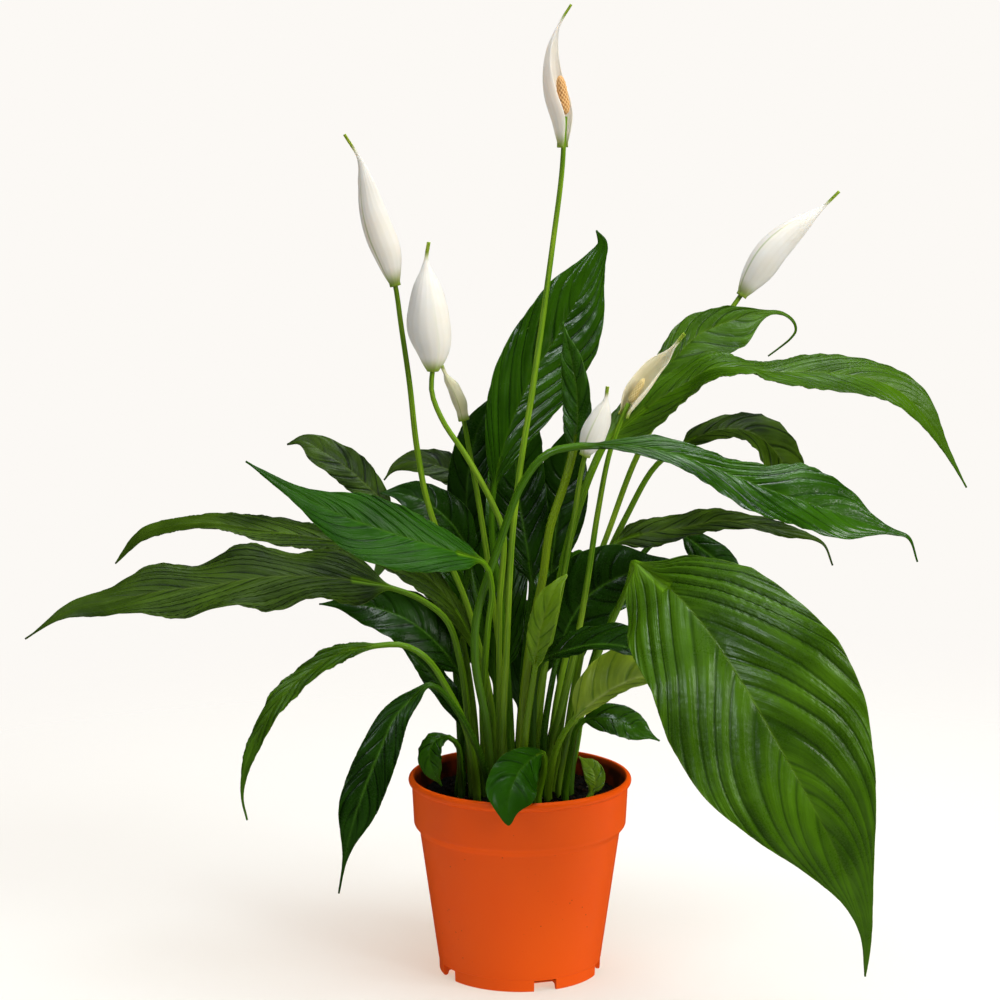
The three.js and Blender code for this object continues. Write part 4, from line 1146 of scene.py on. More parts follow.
    def blade_rings(self, line: Line, base_at: float, columns: Array) -> tuple[Array, Array]:
        """The rings of the blade.

        The sheet's own normals, from the cross product of its two directions, carry its thickness, which
        thins towards the margins; under the midrib it is thicker by the rib. Over the first share of the
        blade the rings change from the petiole's circle to the sheet.

        Args:
            line: The leaf's line.
            base_at: Where the blade starts.
            columns: The places across the blade.

        Returns:
            The rings' points and their places along the blade.
        """
        length = line.length - base_at
        rows = max(24, round(length / self.grid))
        even = np.linspace(0, 1, rows + 1)
        t = even - self.crowd * np.sin(2 * np.pi * even)
        points, tangents = line.at(base_at + length * t)
        normal = face_normals(points, tangents, run_through(self.face, t), self.up)
        side = np.cross(tangents, normal)
        tt, ss = t[:, None], columns[None]
        x, y = self.section(tt, ss, length)
        sheet = points[:, None] + side[:, None] * x[..., None] + normal[:, None] * y[..., None]
        across, onward = np.gradient(sheet, axis=1), np.gradient(sheet, axis=0)
        out = unit(np.cross(across, onward))
        start, end = self.thick
        thick = (start + (end - start) * tt) * (1 - self.margin_thins * np.abs(ss) ** 3)
        keel = self.rib * (1 - tt) ** 1.5 * np.exp(-((x / self.keel_reach) ** 2))
        top = sheet + out * (thick / 2)[..., None]
        low = sheet - out * (thick / 2 + keel)[..., None]
        circles = self.circles(self.petiole[1] * np.ones_like(tt), 1.0, columns)
        round_ring = self.rings_of(points, side, normal, *circles)
        flat_ring = np.concatenate([top, low[:, ::-1]], axis=1)
        merge = smooth(t, 0, self.merge)[:, None, None]
        return round_ring * (1 - merge) + flat_ring * merge, t

    def build(self, finishes: dict[Enum, bpy.types.Material]) -> None:
        """Builds the leaf as one closed body with its marks, and dresses it.

        Args:
            finishes: The material of each kind of leaf.
        """
        line, base_at = self.line()
        length = line.length - base_at
        columns = self.columns()
        points, tangents = line.at(np.array([base_at]))
        normal = face_normals(points, tangents, np.array([float(self.face[0])]), self.up)
        stem_rings, stops = self.petiole_rings(line, base_at, np.cross(tangents, normal)[0], columns)
        blade_rings, t = self.blade_rings(line, base_at, columns)
        rings = np.concatenate([stem_rings, blade_rings])
        across = np.concatenate([columns, columns[::-1]])
        upper = np.concatenate([np.ones(len(columns)), np.zeros(len(columns))])
        along = np.concatenate([(stops - base_at) / 100.0, t])[:, None]
        on_blade = np.clip(along, 0, 1)
        vein = self.vein_phase(on_blade, across[None], length)
        apart = np.where(along < 0, 9.0, np.abs(across) * self.half_width(on_blade, across[None]))
        fade, spread = self.stem_fade
        stem = 1 - smooth(along, 0.0, fade) * smooth(np.abs(across) + 0 * along, 0.0, spread)
        stem = np.where(along > 0.12, 0.0, stem)
        lay = marked(across[None], along, vein)
        leaf = ring_body(rings, lay=lay, skin=marked(apart, stem, upper[None]))
        mend(leaf.piece(self.name + "_blade_and_petiole"), self.name, finishes[self.kind])


BRIGHT, GREEN, SATIN, CREASED, DARK, OLIVE, LIME, PALE = LeafKind

LEAVES = (
    Leaf("leaf_right_large", BRIGHT, (21, -4), [(30, 140, 2), (44, 180, -4), (56, 208, -22), (59, 219, -52)],
     [(61, 223.5, -70), (72, 215.5, -84), (85, 204.5, -104), (104, 181, -125), (122, 153, -138), (138, 125, -146),
     (155, 95, -150), (170, 66, -150), (182, 38, -148), (187.5, 16, -147), (188, -6, -147)], 97, (-4, -6, -6, 0),
     (3, 3, 1), fold=9, curl=0.12, halves=((0, 0.55, 0.88, 0.96, 1.06, 1.04, 0.98, 1, 1.07, 1.14, 1.1),
     (0.6, 0.88, 0.88, 0.87, 0.96, 0.96, 0.93, 0.95, 0.94, 0.75, 0.7)), shape=(0.45, 0.6), tail=(0.5, 0.97, 0.12),
     merge=0.035, veins=13, sweep=0.36, puff=2.2, crimp=0.5, grid=1.5, half_columns=28),
    Leaf("leaf_right_glossy", GREEN, (-15, -13), [(-18, 135, -20), (-24, 170, -28), (-23, 195, -34),
     (-11, 234, -44), (1, 266, -50), (14, 282, -52)], [(30, 286, -52), (60, 286, -52), (85, 281, -54),
     (110, 271.5, -57), (135, 261.5, -60), (160, 253, -60), (182, 245, -59), (198, 240, -58), (206, 237, -57),
     (211, 224, -56)], 39, (-58, -42, -36, -30), (1.2, 3, 0.4),
     halves=((1, 1, 1.1, 0.6, 0.42, 0.72, 1.22, 1.15, 1, 1, 1), (1, 1, 0.8, 0.75, 0.8, 0.95, 1, 1.1, 1.1, 1, 1)),
     shape=(1.5, 1.4), tail=(0.74, 0.9, 0.3), petiole=(2.3, 2), veins=12, sweep=0.26, puff=0.9, half_columns=20),
    Leaf("leaf_right_upper", BRIGHT, (8, 10.5), [(12, 160, 14), (21, 215, 18), (34, 263, 20), (49, 296, 20)],
     [(57, 306, 20), (70, 321, 22), (82, 334, 24), (93, 345, 27), (106, 351, 30), (118, 355, 33), (127, 357, 35),
     (135, 357.5, 36), (140, 355.5, 36), (143.5, 352, 36), (144.5, 347.5, 36), (142, 343.5, 35), (136, 338.5, 35),
     (130, 334, 34)], 35, (-20, -20, -25, -40, -50), (1.5, 3, 2.2), fold=10,
     halves=((0.35, 0.5, 0.72, 0.55, 0.28, 0.25), (0.9, 1.1, 1, 1.2, 0.9, 0.9)), shape=(0.7, 1),
     tail=(0.52, 0.72, 0.16), petiole=(2.3, 2), grid=1.6),
    Leaf("leaf_right_twisted", BRIGHT, (3, 2.5), [(8, 150, -1), (18, 200, -4), (30, 250, -4), (39, 276, -2)],
     [(45, 288, 0), (56, 298, 0), (70, 309, -2), (86, 319, -4), (100, 327, -6), (114, 328, -7), (132, 325.5, -6),
     (152, 325.5, -4), (172, 324, -3), (188, 320.5, -1), (201, 314, 0), (213, 302, 1), (225, 283.5, 2),
     (236, 264, 2)], 29, (-20, -35, -58, -82, -52, -42, -37, -34, -34), (1.2, 4, 0),
     halves=((1, 1, 1, 1.1, 1, 0.95, 1.05, 1.3, 1.5, 1.1, 1),
     (1.2, 1.2, 1.1, 1.3, 1.6, 1.35, 1.15, 1.2, 1.1, 1, 1)), shape=(0.4, 0.9), petiole=(2.3, 2), merge=0.04,
     grid=1.8, half_columns=16),
    Leaf("leaf_right_arching", OLIVE, (23, 12), [(30, 160, 26), (43, 218, 30), (57, 250, 33), (71, 275, 35)],
     [(84, 285.5, 36), (95, 291.5, 36), (107, 295, 36), (118, 294.5, 36), (128, 289.5, 36), (136, 281, 36),
     (142, 270, 36), (146, 258, 36), (148, 246, 36)], 33, (-60, -62, -55, -40, -40), (1.6, 2, 1.2), fold=14,
     shape=(0.7, 0.8)),
    Leaf("leaf_right_wavy", OLIVE, (18.5, 4), [(24, 150, 10), (34, 190, 17), (42, 220, 20)], [(50, 233, 18),
     (60, 238, 18), (72, 240.5, 17), (84, 242, 16), (94, 244, 14), (105, 246, 12), (116, 245.5, 10),
     (128, 243.5, 8), (140, 240.5, 6), (152, 238, 4), (161, 233.5, 3), (166, 222, 2)], 18,
     (-20, -25, -45, -40, -40, -30), (1.6, 3, 0.6), fold=10, halves=(1, (1, 1.1, 0.75, 0.75, 1, 1)),
     shape=(0.5, 1.2)),
    Leaf("leaf_right_small", DARK, (27, 3), [(31, 135, 12), (42, 180, 24), (58, 218, 38), (73, 236, 46)],
     [(85, 239, 48), (95, 232, 46), (105, 224, 44), (113, 214, 42), (119, 203, 40)], 19, (-20, -20, -20),
     (1.2, 2, 0), fold=10),
    Leaf("leaf_right_dark", DARK, (12.5, -7.5), [(13, 130, -8), (16, 152, -4)], [(20, 172, 3), (26, 190, 5),
     (36, 205, 7), (49, 214, 8), (64, 220, 8), (80, 225, 8)], 42, (20, 10, -10), (1.6, 2, 2), fold=8,
     halves=((1.15, 1.2, 1.1, 1, 1), (1, 0.95, 0.7, 0.55, 0.6)), shape=(0.5, 0.7)),
    Leaf("leaf_right_low", DARK, (6, -13.5), [(7, 135, -18), (8, 158, -24)], [(12, 170, -30), (26, 176, -38),
     (42, 179, -46), (58, 177, -53), (74, 170, -58), (88, 158, -62)], 30, (-45, -45, -50), (1.6, 2, 0.5), fold=10,
     halves=(1, 0.35)),
    Leaf("leaf_right_pale", PALE, (15, -14), [(19, 120, -18), (24, 131, -22)], [(29, 138, -25), (40, 148, -30),
     (52, 156, -36), (64, 161, -42), (80, 163, -48), (96, 157, -52)], 40, (-15, -20, -30), (1.2, 2, 0.5), fold=6,
     halves=(1, 0.24), veins=6, puff=0.9),
    Leaf("leaf_right_rim", GREEN, (24, -12), [(28, 122, -14), (30, 132, -18)], [(34, 137, -20), (46, 139, -24),
     (60, 134, -28), (75, 126, -30)], 19, (-24, -26, -25), (0.8, 2, 0), fold=10),
    Leaf("leaf_inside_rim", LIME, (35.5, -30), [], [(38.5, 97, -30), (40.5, 103, -30), (39, 110, -29),
     (31.5, 117.5, -28)], 11, (10, 0, 0), (0.3, 1, 0), fold=8, puff=0.25, grid=1.2),
    Leaf("leaf_front_rim", SATIN, (9.5, -21.5), [(13, 110, -24)], [(12.5, 119, -29), (6, 116, -38), (-1, 108, -50),
     (-5, 98, -60.5), (-6.5, 88, -66), (-6, 79, -67)], 27, (0, -8, -5), (0.8, 2, 0), fold=6, curl=0.12,
     shape=(0.9, 0.6), puff=0.3, grid=1.4),
    Leaf("leaf_left_glossy", SATIN, (-18, -4.5), [(-19.5, 150, -14), (-17, 190, -32), (-15, 210, -43)],
     [(-19, 223, -48), (-34, 229, -54), (-54, 235, -60), (-76, 242, -66), (-98, 250.5, -72), (-120, 262, -76),
     (-145, 278, -80)], 43, (38, 25, 20), (1.2, 2, 0.5), fold=10, halves=(0.95, 0.76), tail=(0.5, 0.85, 0.35),
     sweep=0.34, puff=0.3, half_columns=18),
    Leaf("leaf_left_long", OLIVE, (-25.5, -5.5), [(-28, 140, -10), (-32, 170, -14), (-39, 192, -18),
     (-52, 203, -20)], [(-66, 209, -22), (-90, 214, -26), (-115, 216, -30), (-140, 215, -34), (-165, 210.5, -38),
     (-190, 208, -42), (-215, 203, -44), (-240, 197.5, -46), (-264, 182, -46)], 43, (42, 45, 42, 40),
     (4.8, 4, 2.43), fold=8, shape=(0.62, 1.15), veins=14, sweep=0.44, puff=0.9, half_columns=20),
    Leaf("leaf_left_behind", OLIVE, (-19, 5), [(-20, 140, 12)], [(-23, 172, 16), (-33, 196, 20), (-52, 218, 24),
     (-76, 231.5, 26), (-98, 235, 28), (-120, 238.5, 30), (-142, 241.5, 32), (-162, 244.5, 34), (-182, 243.5, 36),
     (-200, 238.5, 38), (-215, 223, 40)], 30, (50, 50, 66, 60), (1.8, 3, 0), halves=(1, (0.5, 0.6, 1, 1, 1, 1, 1)),
     shape=(0.35, 0.6), tail=(0.85, 1, 0.6)),
    Leaf("leaf_left_upper", OLIVE, (-23, 11), [(-26, 150, 22), (-36, 200, 34), (-54, 232, 42)], [(-68, 252, 46),
     (-80, 264, 50), (-92, 275, 54), (-104, 283, 58), (-115, 289, 60), (-123, 287, 61)], 21, (20, 22, 30),
     (1.2, 2, 0.8), shape=(0.7, 0.7), tail=(0.75, 0.95, 0.4)),
    Leaf("leaf_left_olive", OLIVE, (-8, 12), [(-8, 160, 24), (-8, 215, 38), (-8, 248, 46)], [(-14, 260, 50),
     (-27, 268, 52), (-42, 275, 54), (-56, 278, 56), (-66, 275, 57), (-72, 268, 57)], 20, (50, 35, 30),
     (1.2, 2, 0)),
    Leaf("leaf_left_upright", DARK, (-15, 11.5), [(-18, 150, 20), (-22, 196, 28)], [(-27, 222, 38), (-28, 244, 42),
     (-28, 266, 43), (-25, 286, 43), (-19, 303, 44), (-9, 316, 46)], 22, (-10, 0, 10), (1.5, 2, 1),
     shape=(0.5, 0.6)),
    Leaf("leaf_left_low", DARK, (-26, 3), [(-28, 125, 4), (-29, 145, 6)], [(-32, 162, 8), (-44, 179, 8),
     (-58, 191, 8), (-74, 198, 8), (-90, 201, 8), (-107, 201, 8)], 34, (28, 32, 30), (1.6, 2, 0.4), fold=10),
    Leaf("leaf_left_ragged", DARK, (-33, -1), [(-32, 110, -2), (-32, 122, -3)], [(-31, 134, -4), (-36, 147, -5),
     (-45, 160, -6), (-56, 172, -7), (-66, 181, -8)], 13, (10, 12, 10), (2.2, 3, 0.5)),
    Leaf("leaf_left_narrow", BRIGHT, (-23, -14), [(-28, 130, -26), (-38, 153, -36), (-50, 171.5, -42),
     (-62, 178.5, -44)], [(-75, 178.5, -46), (-94, 175, -48), (-110, 166, -50), (-126, 152, -52),
     (-139.5, 131, -54), (-147.5, 110, -55), (-149.5, 95, -55), (-147, 82, -55)], 11.5, (30, 25, 20, 10),
     (1.6, 4, 0.5), shape=(0.6, 1.2), crimp=1.3),
    Leaf("leaf_left_drooping", DARK, (-15.5, -21), [(-22, 120, -32), (-34, 143, -44)], [(-48, 157, -54),
     (-57, 150, -58), (-67, 139, -62), (-75, 121, -66), (-83, 101, -68), (-90, 80, -69), (-94.5, 60, -70),
     (-98, 41, -70)], 22, (8, 0, -4, 0), (1, 3, 0), curl=0.08, shape=(0.9, 0.9), tail=(0.6, 0.9, 0.15), crimp=1.3),
    Leaf("leaf_left_rim", GREEN, (-31, -9), [(-32, 112, -12), (-33, 123, -14)], [(-38, 128, -16), (-45.5, 126, -20),
     (-48.5, 118, -23), (-46, 108, -25), (-42, 101, -26)], 15, (50, 30, 10), (0.5, 1, 0), fold=8, grid=1.4),
    Leaf("leaf_centre_large", GREEN, (-4, -3.5), [(-6, 150, 2), (-10, 200, 6), (-15, 240, 8)], [(-14, 262, 8),
     (-9, 285, 8), (-1, 308, 10), (9, 328, 12), (20.5, 347, 13), (31, 367, 14), (39, 383, 15), (43, 393, 15),
     (39.5, 400, 14)], 43, (18, 15, 10, 0), (1, 3, 0.3), halves=((1, 1.05, 1.1, 1, 0.95, 0.9),
     (1, 1.05, 1.12, 1.08, 0.8, 0.7)), shape=(1, 0.8), veins=9, sweep=0.36, puff=1.7, half_columns=24),
    Leaf("leaf_centre_upright", CREASED, (-1, -12), [(2, 150, -16), (7, 190, -20), (12, 215, -22), (16, 243, -22),
     (24, 268, -20)], [(28, 284, -18), (30, 298, -16), (30, 314, -14), (27, 332, -12), (22, 352, -10)], 16.5,
     (-20, -20, -10), (0.6, 2, 0), fold=16, shape=(0.5, 0.9), petiole=(2.3, 2.2)),
    Leaf("leaf_centre_short", LIME, (1, -21), [(3, 130, -26), (6, 152, -30)], [(8, 166, -33), (10, 182, -36),
     (14, 198, -38), (20, 211, -39), (25, 217, -39)], 15, (-10, -25, -30), (0.5, 1, 0), fold=14, shape=(0.6, 0.5)),
    Leaf("leaf_centre_dark", DARK, (0, 11), [(1, 150, 18), (4, 190, 26)], [(6, 212, 30), (3, 236, 33),
     (-1, 260, 36), (-2, 282, 38), (2, 302, 40), (10, 316, 42)], 31, (10, 10, 5), (1.5, 2, 1), fold=10,
     shape=(0.6, 0.6)),
    Leaf("leaf_left_middle", DARK, (-31, 12), [(-33, 150, 18), (-34.5, 172, 22.5), (-31.5, 200, 28.5)],
     [(-27, 226, 30), (-33, 240, 29), (-43, 251, 28), (-54, 258, 28), (-64, 261, 28), (-74, 261, 28)], 25,
     (25, 22, 20), (1.2, 2, 1.2), shape=(0.6, 0.8)),
    Leaf("leaf_centre_behind", DARK, (20, 21), [(22, 150, 29), (18, 195, 37)], [(17, 218, 42), (19, 240, 44),
     (22, 262, 46), (25, 284, 48), (30, 304, 50)], 30, (0, 0, 0), (1.2, 2, 0.4), fold=10),
    Leaf("leaf_back_1", GREEN, (-19, 19), [(-20, 135, 30)], [(-21, 160, 42), (-24, 190, 58), (-29, 213, 76),
     (-37, 227, 98), (-47, 234, 124), (-58, 234, 150), (-70, 226, 178), (-80, 211, 204)], 34, (10, 5, 0), (2, 3, 0),
     fold=8, shape=(0.45, 0.7), up=True, puff=0.8),
    Leaf("leaf_back_2", GREEN, (-11, 20), [(-12, 130, 30)], [(-13, 155, 36), (-13, 195, 44), (-13, 228, 56),
     (-14, 253, 72), (-14, 270, 92), (-14, 276, 116), (-14, 272, 144), (-14, 258, 172), (-13, 234, 198)], 38,
     (0, 0, 5), (2, 3, 1), fold=8, shape=(0.4, 0.6), up=True, puff=0.8),
    Leaf("leaf_back_3", DARK, (-3, 19.5), [(-1, 125, 34)], [(0, 142, 42), (3, 170, 56), (6, 190, 74), (9, 200, 100),
     (13, 200, 128), (17, 186, 154), (20, 166, 172)], 30, (0, 0, 0), (1.5, 2, 0), fold=8, shape=(0.45, 0.7),
     up=True),
    Leaf("leaf_back_4", GREEN, (5, 19), [(8, 132, 28)], [(11, 158, 37), (15, 188, 46), (20, 210, 60), (27, 222, 82),
     (37, 227, 108), (48, 225, 132), (60, 216, 156), (72, 200, 176)], 32, (0, 0, 0), (2, 3, 2), fold=8,
     shape=(0.45, 0.7), up=True, puff=0.8),
    Leaf("leaf_back_5", DARK, (13, 20.5), [(18, 135, 36)], [(24, 158, 46), (30, 180, 58), (40, 195, 72),
     (55, 203, 94), (72, 202, 116), (90, 192, 136), (105, 175, 150)], 28, (-10, -5, 0), (1.8, 2, 0), fold=8,
     shape=(0.6, 0.8), up=True),
    Leaf("leaf_back_6", OLIVE, (27, 17), [(30, 122, 30), (34, 146, 44)], [(39, 160, 60), (45, 167, 78),
     (51, 169, 96), (57, 166, 114), (62, 158, 130)], 20, (0, 0, 0), (1.2, 2, 0), fold=10, up=True),
)


# ---- Blooms -----------------------------------------------------------------------------------------------


@dataclass
class Bloom:
    """A bloom: a round stalk, a hood wrapped round the spike, and the knobbed spike.

    stalk, spathe and spadix are points of their lines, width is the hood's, face where it opens, spike the
    spike's radius, as in the part's source.
    """

    name: str
    root: tuple[float, float]
    width: float
    face: float
    spadix: Sequence[Point]
    spike: float
    stalk: Sequence[Point]
    spathe: Sequence[Point]
    hood: HoodKind = HoodKind.FRESH
    ripe: SpikeKind = SpikeKind.PALE
    stalk_radii: tuple[float, ...] = (2.1, 1.6, 1.6, 1.25)
    collar: float = 2.75
    tip_radius: float = 0.9
    thick: float = 0.8
    shape: tuple[float, float] = (0.9, 1.3)
    tail: tuple[float, float, float] = (0.72, 0.95, 0.5)
    hood_rows: int = 60
    hood_columns: int = 33
    knobs_around: int = 9
    knob_step: float = 1.25
    wrap: tuple[float, float] = (125, 70)
    margin_thins: float = 0.55
    ripple: float = 0.35
    ridge: float = 0.12

    def build_stalk(self) -> bpy.types.Object:
        """The stalk: a circle that thins along its line."""
        line = Line(np.vstack([foot_of(self.root), place(self.stalk)]))
        stops = np.linspace(0, line.length, max(30, round(line.length / 5)))
        radii = run_through(self.stalk_radii, stops / line.length)
        return round_body(line, stops, radii, 20).piece(self.name + "_stem")

    def build_hood(self) -> bpy.types.Object:
        """The hood: at each step an arc round its line, closed behind and open towards its face.

        The arc's radius is the greatest of a collar that fades, a least tip and the outline of the width; its
        reach to both sides is the wrap, in degrees. Its free margins wave a little and it thins there.

        Returns:
            The hood.
        """
        line = Line(place(self.spathe))
        t = eased_steps(self.hood_rows, 0.35)
        points, tangents = line.at(line.length * t)
        normal = face_normals(points, tangents, np.full(len(t), float(self.face)))
        side = np.cross(tangents, normal)
        half = eased_steps(self.hood_columns // 2, 0.4)
        s = np.concatenate([-half[:0:-1], half])
        tt, ss = t[:, None], s[None]
        swell = outline(np.minimum(t + 0.04, 1), self.shape, self.tail)
        radius = np.maximum.reduce([self.collar * (1 - smooth(t, 0.3, 0.9)), np.full(len(t), self.tip_radius),
                                    self.width / 2 * swell])[:, None]
        behind, ahead = self.wrap
        wrap = np.radians(behind - (behind - ahead) * smooth(t, 0.15, 0.9))[:, None]
        ripple = self.ripple * np.abs(ss) ** 3 * np.sin(17 * tt + 2.2 * np.sign(ss)) * swell[:, None]
        ridge = self.ridge * np.exp(-((ss / 0.07) ** 2))
        thick = self.thick * (1 - self.margin_thins * np.abs(ss) ** 2)
        walls = []
        for offset in (-thick / 2, thick / 2 + ridge):
            r = (radius + offset + ripple)[..., None]
            walls.append(points[:, None] + side[:, None] * r * np.sin(ss * wrap)[..., None]
                         - normal[:, None] * r * np.cos(ss * wrap)[..., None])
        rings = np.concatenate([walls[0], walls[1][:, ::-1]], axis=1)
        outer = np.concatenate([np.zeros(len(s)), np.ones(len(s))])
        lay = marked(np.concatenate([s, s[::-1]])[None], tt, outer[None])
        return ring_body(rings, lay=lay).piece(self.name + "_hood")

    def build_spike(self) -> bpy.types.Object:
        """The spike: a blunt round body with knobs in staggered rows, as the product of two cosines."""
        line = Line(place(self.spadix))
        rows = max(40, round(line.length / self.knob_step) * 7)
        around = self.knobs_around * 8
        t = np.linspace(0, 1, rows)
        swell = np.sqrt(np.maximum(0.03, 1 - (2 * t - 1) ** 4)) * (1 - 0.25 * t)
        angle = 2 * np.pi * (np.arange(around) + 0.5) / around
        lap = np.pi * line.length * t / self.knob_step
        knob = 0.5 + 0.5 * np.cos(self.knobs_around * angle)[None] * np.cos(lap)[:, None]
        radii = self.spike * swell[:, None] * (0.88 + 0.2 * knob**0.8)
        draft = round_body(line, line.length * t, radii, around)
        draft.marks["lay"] = marked(knob, t[:, None], 0.0)
        return draft.piece(self.name + "_spike")

    def build(self, stalk: bpy.types.Material, hood: bpy.types.Material, spike: bpy.types.Material) -> None:
        """Builds and dresses the bloom's three pieces.

        Args:
            stalk: The stalk's material.
            hood: The hood's material.
            spike: The spike's material.
        """
        mend(self.build_stalk(), self.name + "_stalk", stalk)
        mend(self.build_hood(), self.name + "_spathe", hood)
        mend(self.build_spike(), self.name + "_spadix", spike)


BLOOMS = (
    Bloom("bloom_top", (-8, -16.5), 13.5, 65, [(23.2, 460, -21), (20.2, 480, -21)], 3.1, [(-9, 130, -19),
     (-7, 180, -25), (-5, 225, -33), (-3, 250, -37), (1, 282, -35), (6.2, 315, -31), (11.8, 355, -26),
     (17.1, 395, -22), (21.4, 430, -20), (23, 459, -20.6)], [(22, 443, -20), (22, 458, -20), (19, 472, -20),
     (17.8, 484, -20), (18.4, 496, -20), (20.6, 506, -20), (26.5, 516, -20)], ripe=SpikeKind.APRICOT),
    Bloom("bloom_upper_left", (-12, 0.5), 16, 130, [(-68, 384, 0), (-76.5, 410, 0)], 2.6, [(-16, 150, 0),
     (-28, 200, 0), (-40, 230, 0), (-49, 256, 0), (-54.5, 285, 0), (-58.3, 320, 0), (-62.5, 350, 0),
     (-65.2, 370, 0), (-68.2, 383, 0)], [(-65.2, 371, 0), (-68.8, 386, 0), (-73, 399, 0), (-76.5, 412, 0),
     (-78.8, 424, 0), (-82, 435, 0), (-91, 450, 0)]),
    Bloom("bloom_left", (-10.5, -8), 22, 200, [(-45.6, 338, -14), (-48.5, 364, -14)], 2.6, [(-11, 150, -14),
     (-11, 200, -20), (-9, 240, -22), (-15, 256, -22), (-28, 280, -20), (-41, 300, -17), (-46.6, 315, -15),
     (-46, 328, -14), (-45.5, 337, -14)], [(-46, 326, -14), (-46, 338, -14), (-48, 350, -14), (-49, 363, -14),
     (-49.4, 375, -14), (-49.4, 385, -14), (-48, 394, -14)], hood=HoodKind.PLAIN),
    Bloom("bloom_withered", (-5, 4), 7, 165, [(-31.6, 309, 22), (-36, 319, 22)], 1.5, [(-8, 150, 10),
     (-14, 200, 16), (-21, 250, 20), (-28, 290, 22), (-31.2, 308, 22)], [(-29.6, 300, 22), (-32, 310, 22),
     (-35, 317, 22), (-38.5, 323, 22), (-42, 331, 22)], hood=HoodKind.WITHERED),
    Bloom("bloom_right", (15.5, 12), 17, 135, [(120.6, 373.6, 44), (135.6, 394.6, 45)], 2.6, [(20, 150, 22),
     (32, 200, 36), (46, 238, 44), (60, 277, 47), (72, 301, 46), (88, 328, 44), (109, 357, 43), (120, 373, 44)],
     [(115.5, 365.5, 43), (122.5, 376.5, 44), (130.5, 387.5, 45), (139.5, 396.5, 46), (149, 404, 46),
     (158, 412, 46), (166, 420, 46)]),
    Bloom("bloom_centre", (4, -5.5), 13, 160, [(37, 289.5, -27), (43, 303, -27)], 2, [(10, 150, -6), (20, 200, -10),
     (28, 245, -18), (33, 276, -26), (36.6, 288.6, -27)], [(34, 281, -26.5), (37.6, 290, -27), (41.5, 299, -27),
     (44.5, 307, -27), (46, 318, -27)]),
    Bloom("bloom_centre_right", (10.5, 2), 11, -20, [(57.5, 309.5, -16), (65, 322, -16)], 2.1, [(22, 145, -6),
     (31, 185, -14), (36, 215, -18), (41, 250, -18), (47, 282, -17), (53, 300, -16), (57, 309, -16)],
     [(54, 302, -16), (58, 311, -16), (63.5, 320, -16), (70, 328, -16), (77, 335, -16), (86, 346, -16)],
     hood=HoodKind.MOTTLED),
)


# ---- Studio -----------------------------------------------------------------------------------------------


@dataclass(frozen=True)
class Softbox:
    """A soft square light; a glint only shows as a highlight, the others only light."""

    name: str
    place: Point
    size: float
    power: float
    tint: str
    glint: bool = False
    aim: Point = (0.0, 0.0, 0.2)


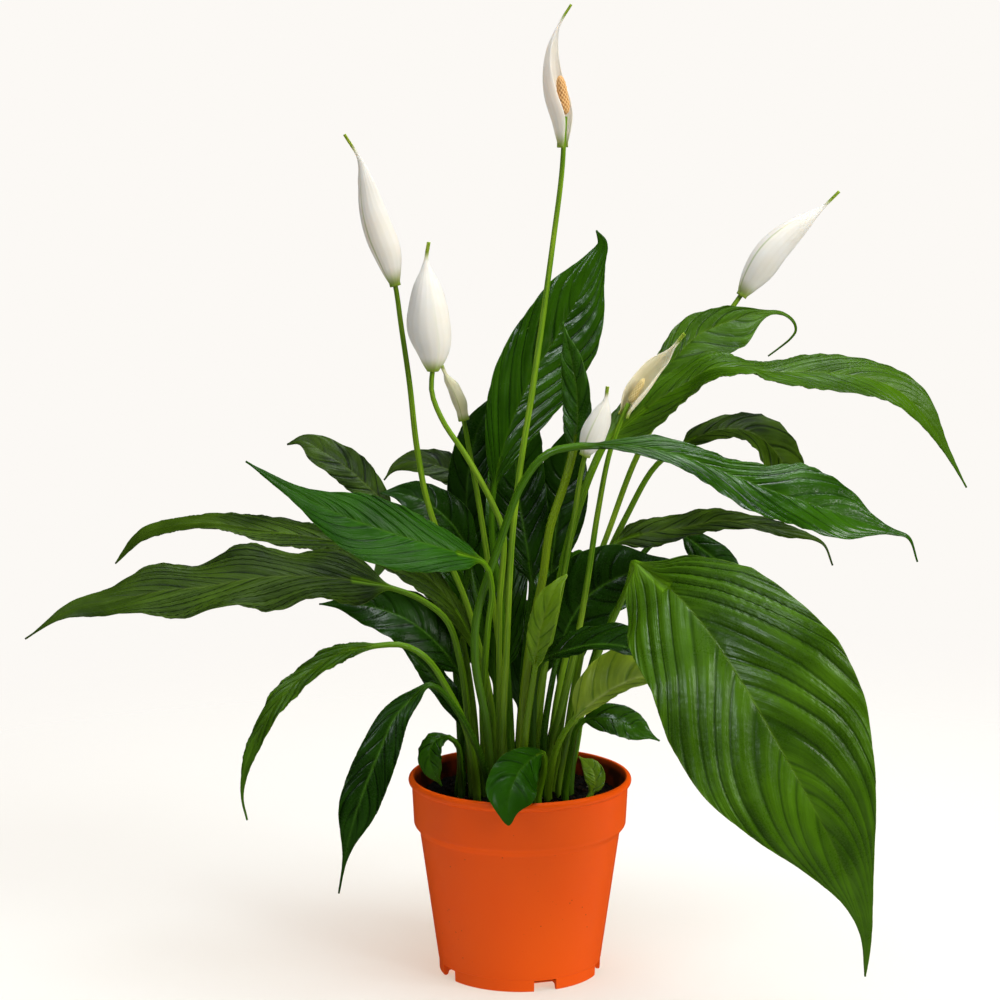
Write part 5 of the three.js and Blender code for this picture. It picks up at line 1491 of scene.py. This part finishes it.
@dataclass
class Studio:
    """The pale floor and backdrop, the soft lights and the camera."""

    floor_radius: float = 4.0
    floor_fade: tuple[float, float] = (0.25, 0.95)
    floor_tint: str = "a4b4bc"
    floor_cloud: str = "9caeb8"
    floor_glow: str = "cbb8a6"
    backdrop_radius: float = 9.0
    backdrop_tint: str = "fcf9f5"
    camera_place: Point = (-0.0107, -1.6, 0.54)
    camera_pitch: float = -10.02
    camera_lens: float = 110.52
    camera_sensor: float = 36.0
    sky_tint: str = "f4f2ee"
    sky_strength: float = 0.18
    lights: tuple[Softbox, ...] = (
        Softbox("key_light", (1.9, -1.4, 1.5), 1.5, 68.0, "fff8ee"),
        Softbox("fill_light", (-1.9, -1.1, 1.2), 1.4, 7.0, "f2f6ff"),
        Softbox("top_light", (0.1, 0.1, 2.2), 1.8, 44.0, "ffffff"),
        Softbox("key_glint", (1.7, -1.2, 1.5), 0.6, 11.0, "ffffff", glint=True),
        Softbox("top_glint", (0.5, 0.3, 2.2), 0.6, 10.0, "f4f8ff", glint=True),
        Softbox("front_glint", (-0.8, -1.9, 1.5), 0.6, 12.0, "eef6ff", glint=True),
    )

    def disc(self, name: str, radii: Array, heights: Array, around: int = 96) -> bpy.types.Object:
        """A surface turned about the axis: rings of the radii at the heights, in millimetres."""
        made = Draft(turned(radii, heights, around).reshape(-1, 3), [ring_faces(len(radii), around)]).piece(name)
        return made

    def build_floor(self) -> None:
        """The floor: a pale disc, lit from below through its warm glow, that fades out round the pot."""
        radii = np.array([0.001, *np.linspace(0.2, self.floor_radius, 20)]) * 1000
        floor = self.disc("studio_floor", radii, np.zeros(len(radii)))
        g = Graph("studio_floor")
        spot = g.spot()
        cloud = g.noise(spot, 2.0, 2.0)
        base = g.blend(cloud * 0.3, self.floor_tint, self.floor_cloud)
        g.finish(base, 0.7, None, Specular_IOR_Level=0.0, Emission_Color=colour(self.floor_glow),
                 Emission_Strength=1.0)
        x, y, _ = g.parts(spot)
        far = ((x * x + y * y) ** 0.5).eased(*self.floor_fade)
        clear = g.tree.nodes.new("ShaderNodeBsdfTransparent")
        mix = g.tree.nodes.new("ShaderNodeMixShader")
        g.tree.links.new(far.socket, mix.inputs[0])
        g.tree.links.new(g.shader.outputs[0], mix.inputs[1])
        g.tree.links.new(clear.outputs[0], mix.inputs[2])
        g.tree.links.new(mix.outputs[0], g.tree.nodes["Material Output"].inputs[0])
        floor.data.materials.append(g.material)
        floor.visible_glossy = False

    def build_backdrop(self) -> None:
        """The backdrop: a pale ball round everything that only the camera sees."""
        angle = np.linspace(-0.499, 0.499, 32) * np.pi
        r = self.backdrop_radius * 1000
        backdrop = self.disc("studio_backdrop", r * np.cos(angle), r * np.sin(angle), 64)
        glow = bpy.data.materials.new("studio_backdrop")
        glow.use_nodes = True
        nodes, links = glow.node_tree.nodes, glow.node_tree.links
        nodes.remove(nodes["Principled BSDF"])
        light = nodes.new("ShaderNodeEmission")
        light.inputs[0].default_value = colour(self.backdrop_tint)
        links.new(light.outputs[0], nodes["Material Output"].inputs[0])
        backdrop.data.materials.append(glow)
        backdrop.visible_diffuse = backdrop.visible_glossy = backdrop.visible_shadow = False
        backdrop.visible_transmission = False

    def build_lights(self) -> None:
        """The softboxes and a dim even sky."""
        for box in self.lights:
            lamp = bpy.data.lights.new(box.name, "AREA")
            lamp.shape, lamp.size, lamp.size_y = "RECTANGLE", box.size, box.size
            lamp.energy, lamp.color = box.power, colour(box.tint)[:3]
            holder = bpy.data.objects.new(box.name, lamp)
            holder.location = box.place
            towards = Vector(box.aim) - Vector(box.place)
            holder.rotation_euler = towards.to_track_quat("-Z", "Y").to_euler()
            holder.visible_glossy, holder.visible_diffuse = box.glint, not box.glint
            bpy.context.scene.collection.objects.link(holder)
        world = bpy.data.worlds.new("studio_sky")
        world.use_nodes = True
        sky = world.node_tree.nodes["Background"]
        sky.inputs[0].default_value = colour(self.sky_tint)
        sky.inputs[1].default_value = self.sky_strength
        world.cycles_visibility.glossy = False
        bpy.context.scene.world = world

    def build_camera(self) -> None:
        """The camera at the photograph's angle."""
        camera = bpy.data.objects.new("camera", bpy.data.cameras.new("camera"))
        camera.data.lens, camera.data.sensor_width = self.camera_lens, self.camera_sensor
        camera.data.clip_start, camera.data.clip_end = 0.05, 100.0
        camera.location = self.camera_place
        camera.rotation_euler = (math.radians(90 + self.camera_pitch), 0.0, 0.0)
        bpy.context.scene.collection.objects.link(camera)
        bpy.context.scene.camera = camera

    def build(self) -> None:
        """Sets up everything that isn't part of the object."""
        self.build_camera()
        self.build_floor()
        self.build_backdrop()
        self.build_lights()
        view = bpy.context.scene.view_settings
        view.view_transform, view.look = "Standard", "None"


def main() -> None:
    """Builds the studio, the pot, the mix, the leaves and the blooms, and notes the sizes."""
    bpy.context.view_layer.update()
    Studio().build()
    pot = NurseryPot()
    pot.build()
    PottingSoil(pot).build()
    finishes = {kind: kind.value.material() for kind in LeafKind}
    for leaf in LEAVES:
        leaf.build(finishes)
    stalk = StalkSkin().material()
    hoods, spikes = ({kind: kind.value.material() for kind in kinds} for kinds in (HoodKind, SpikeKind))
    for bloom in BLOOMS:
        bloom.build(stalk, hoods[bloom.hood], spikes[bloom.ripe])


if __name__ == "__main__":
    logging.basicConfig(level=logging.INFO, format="%(name)s %(message)s")
    main()
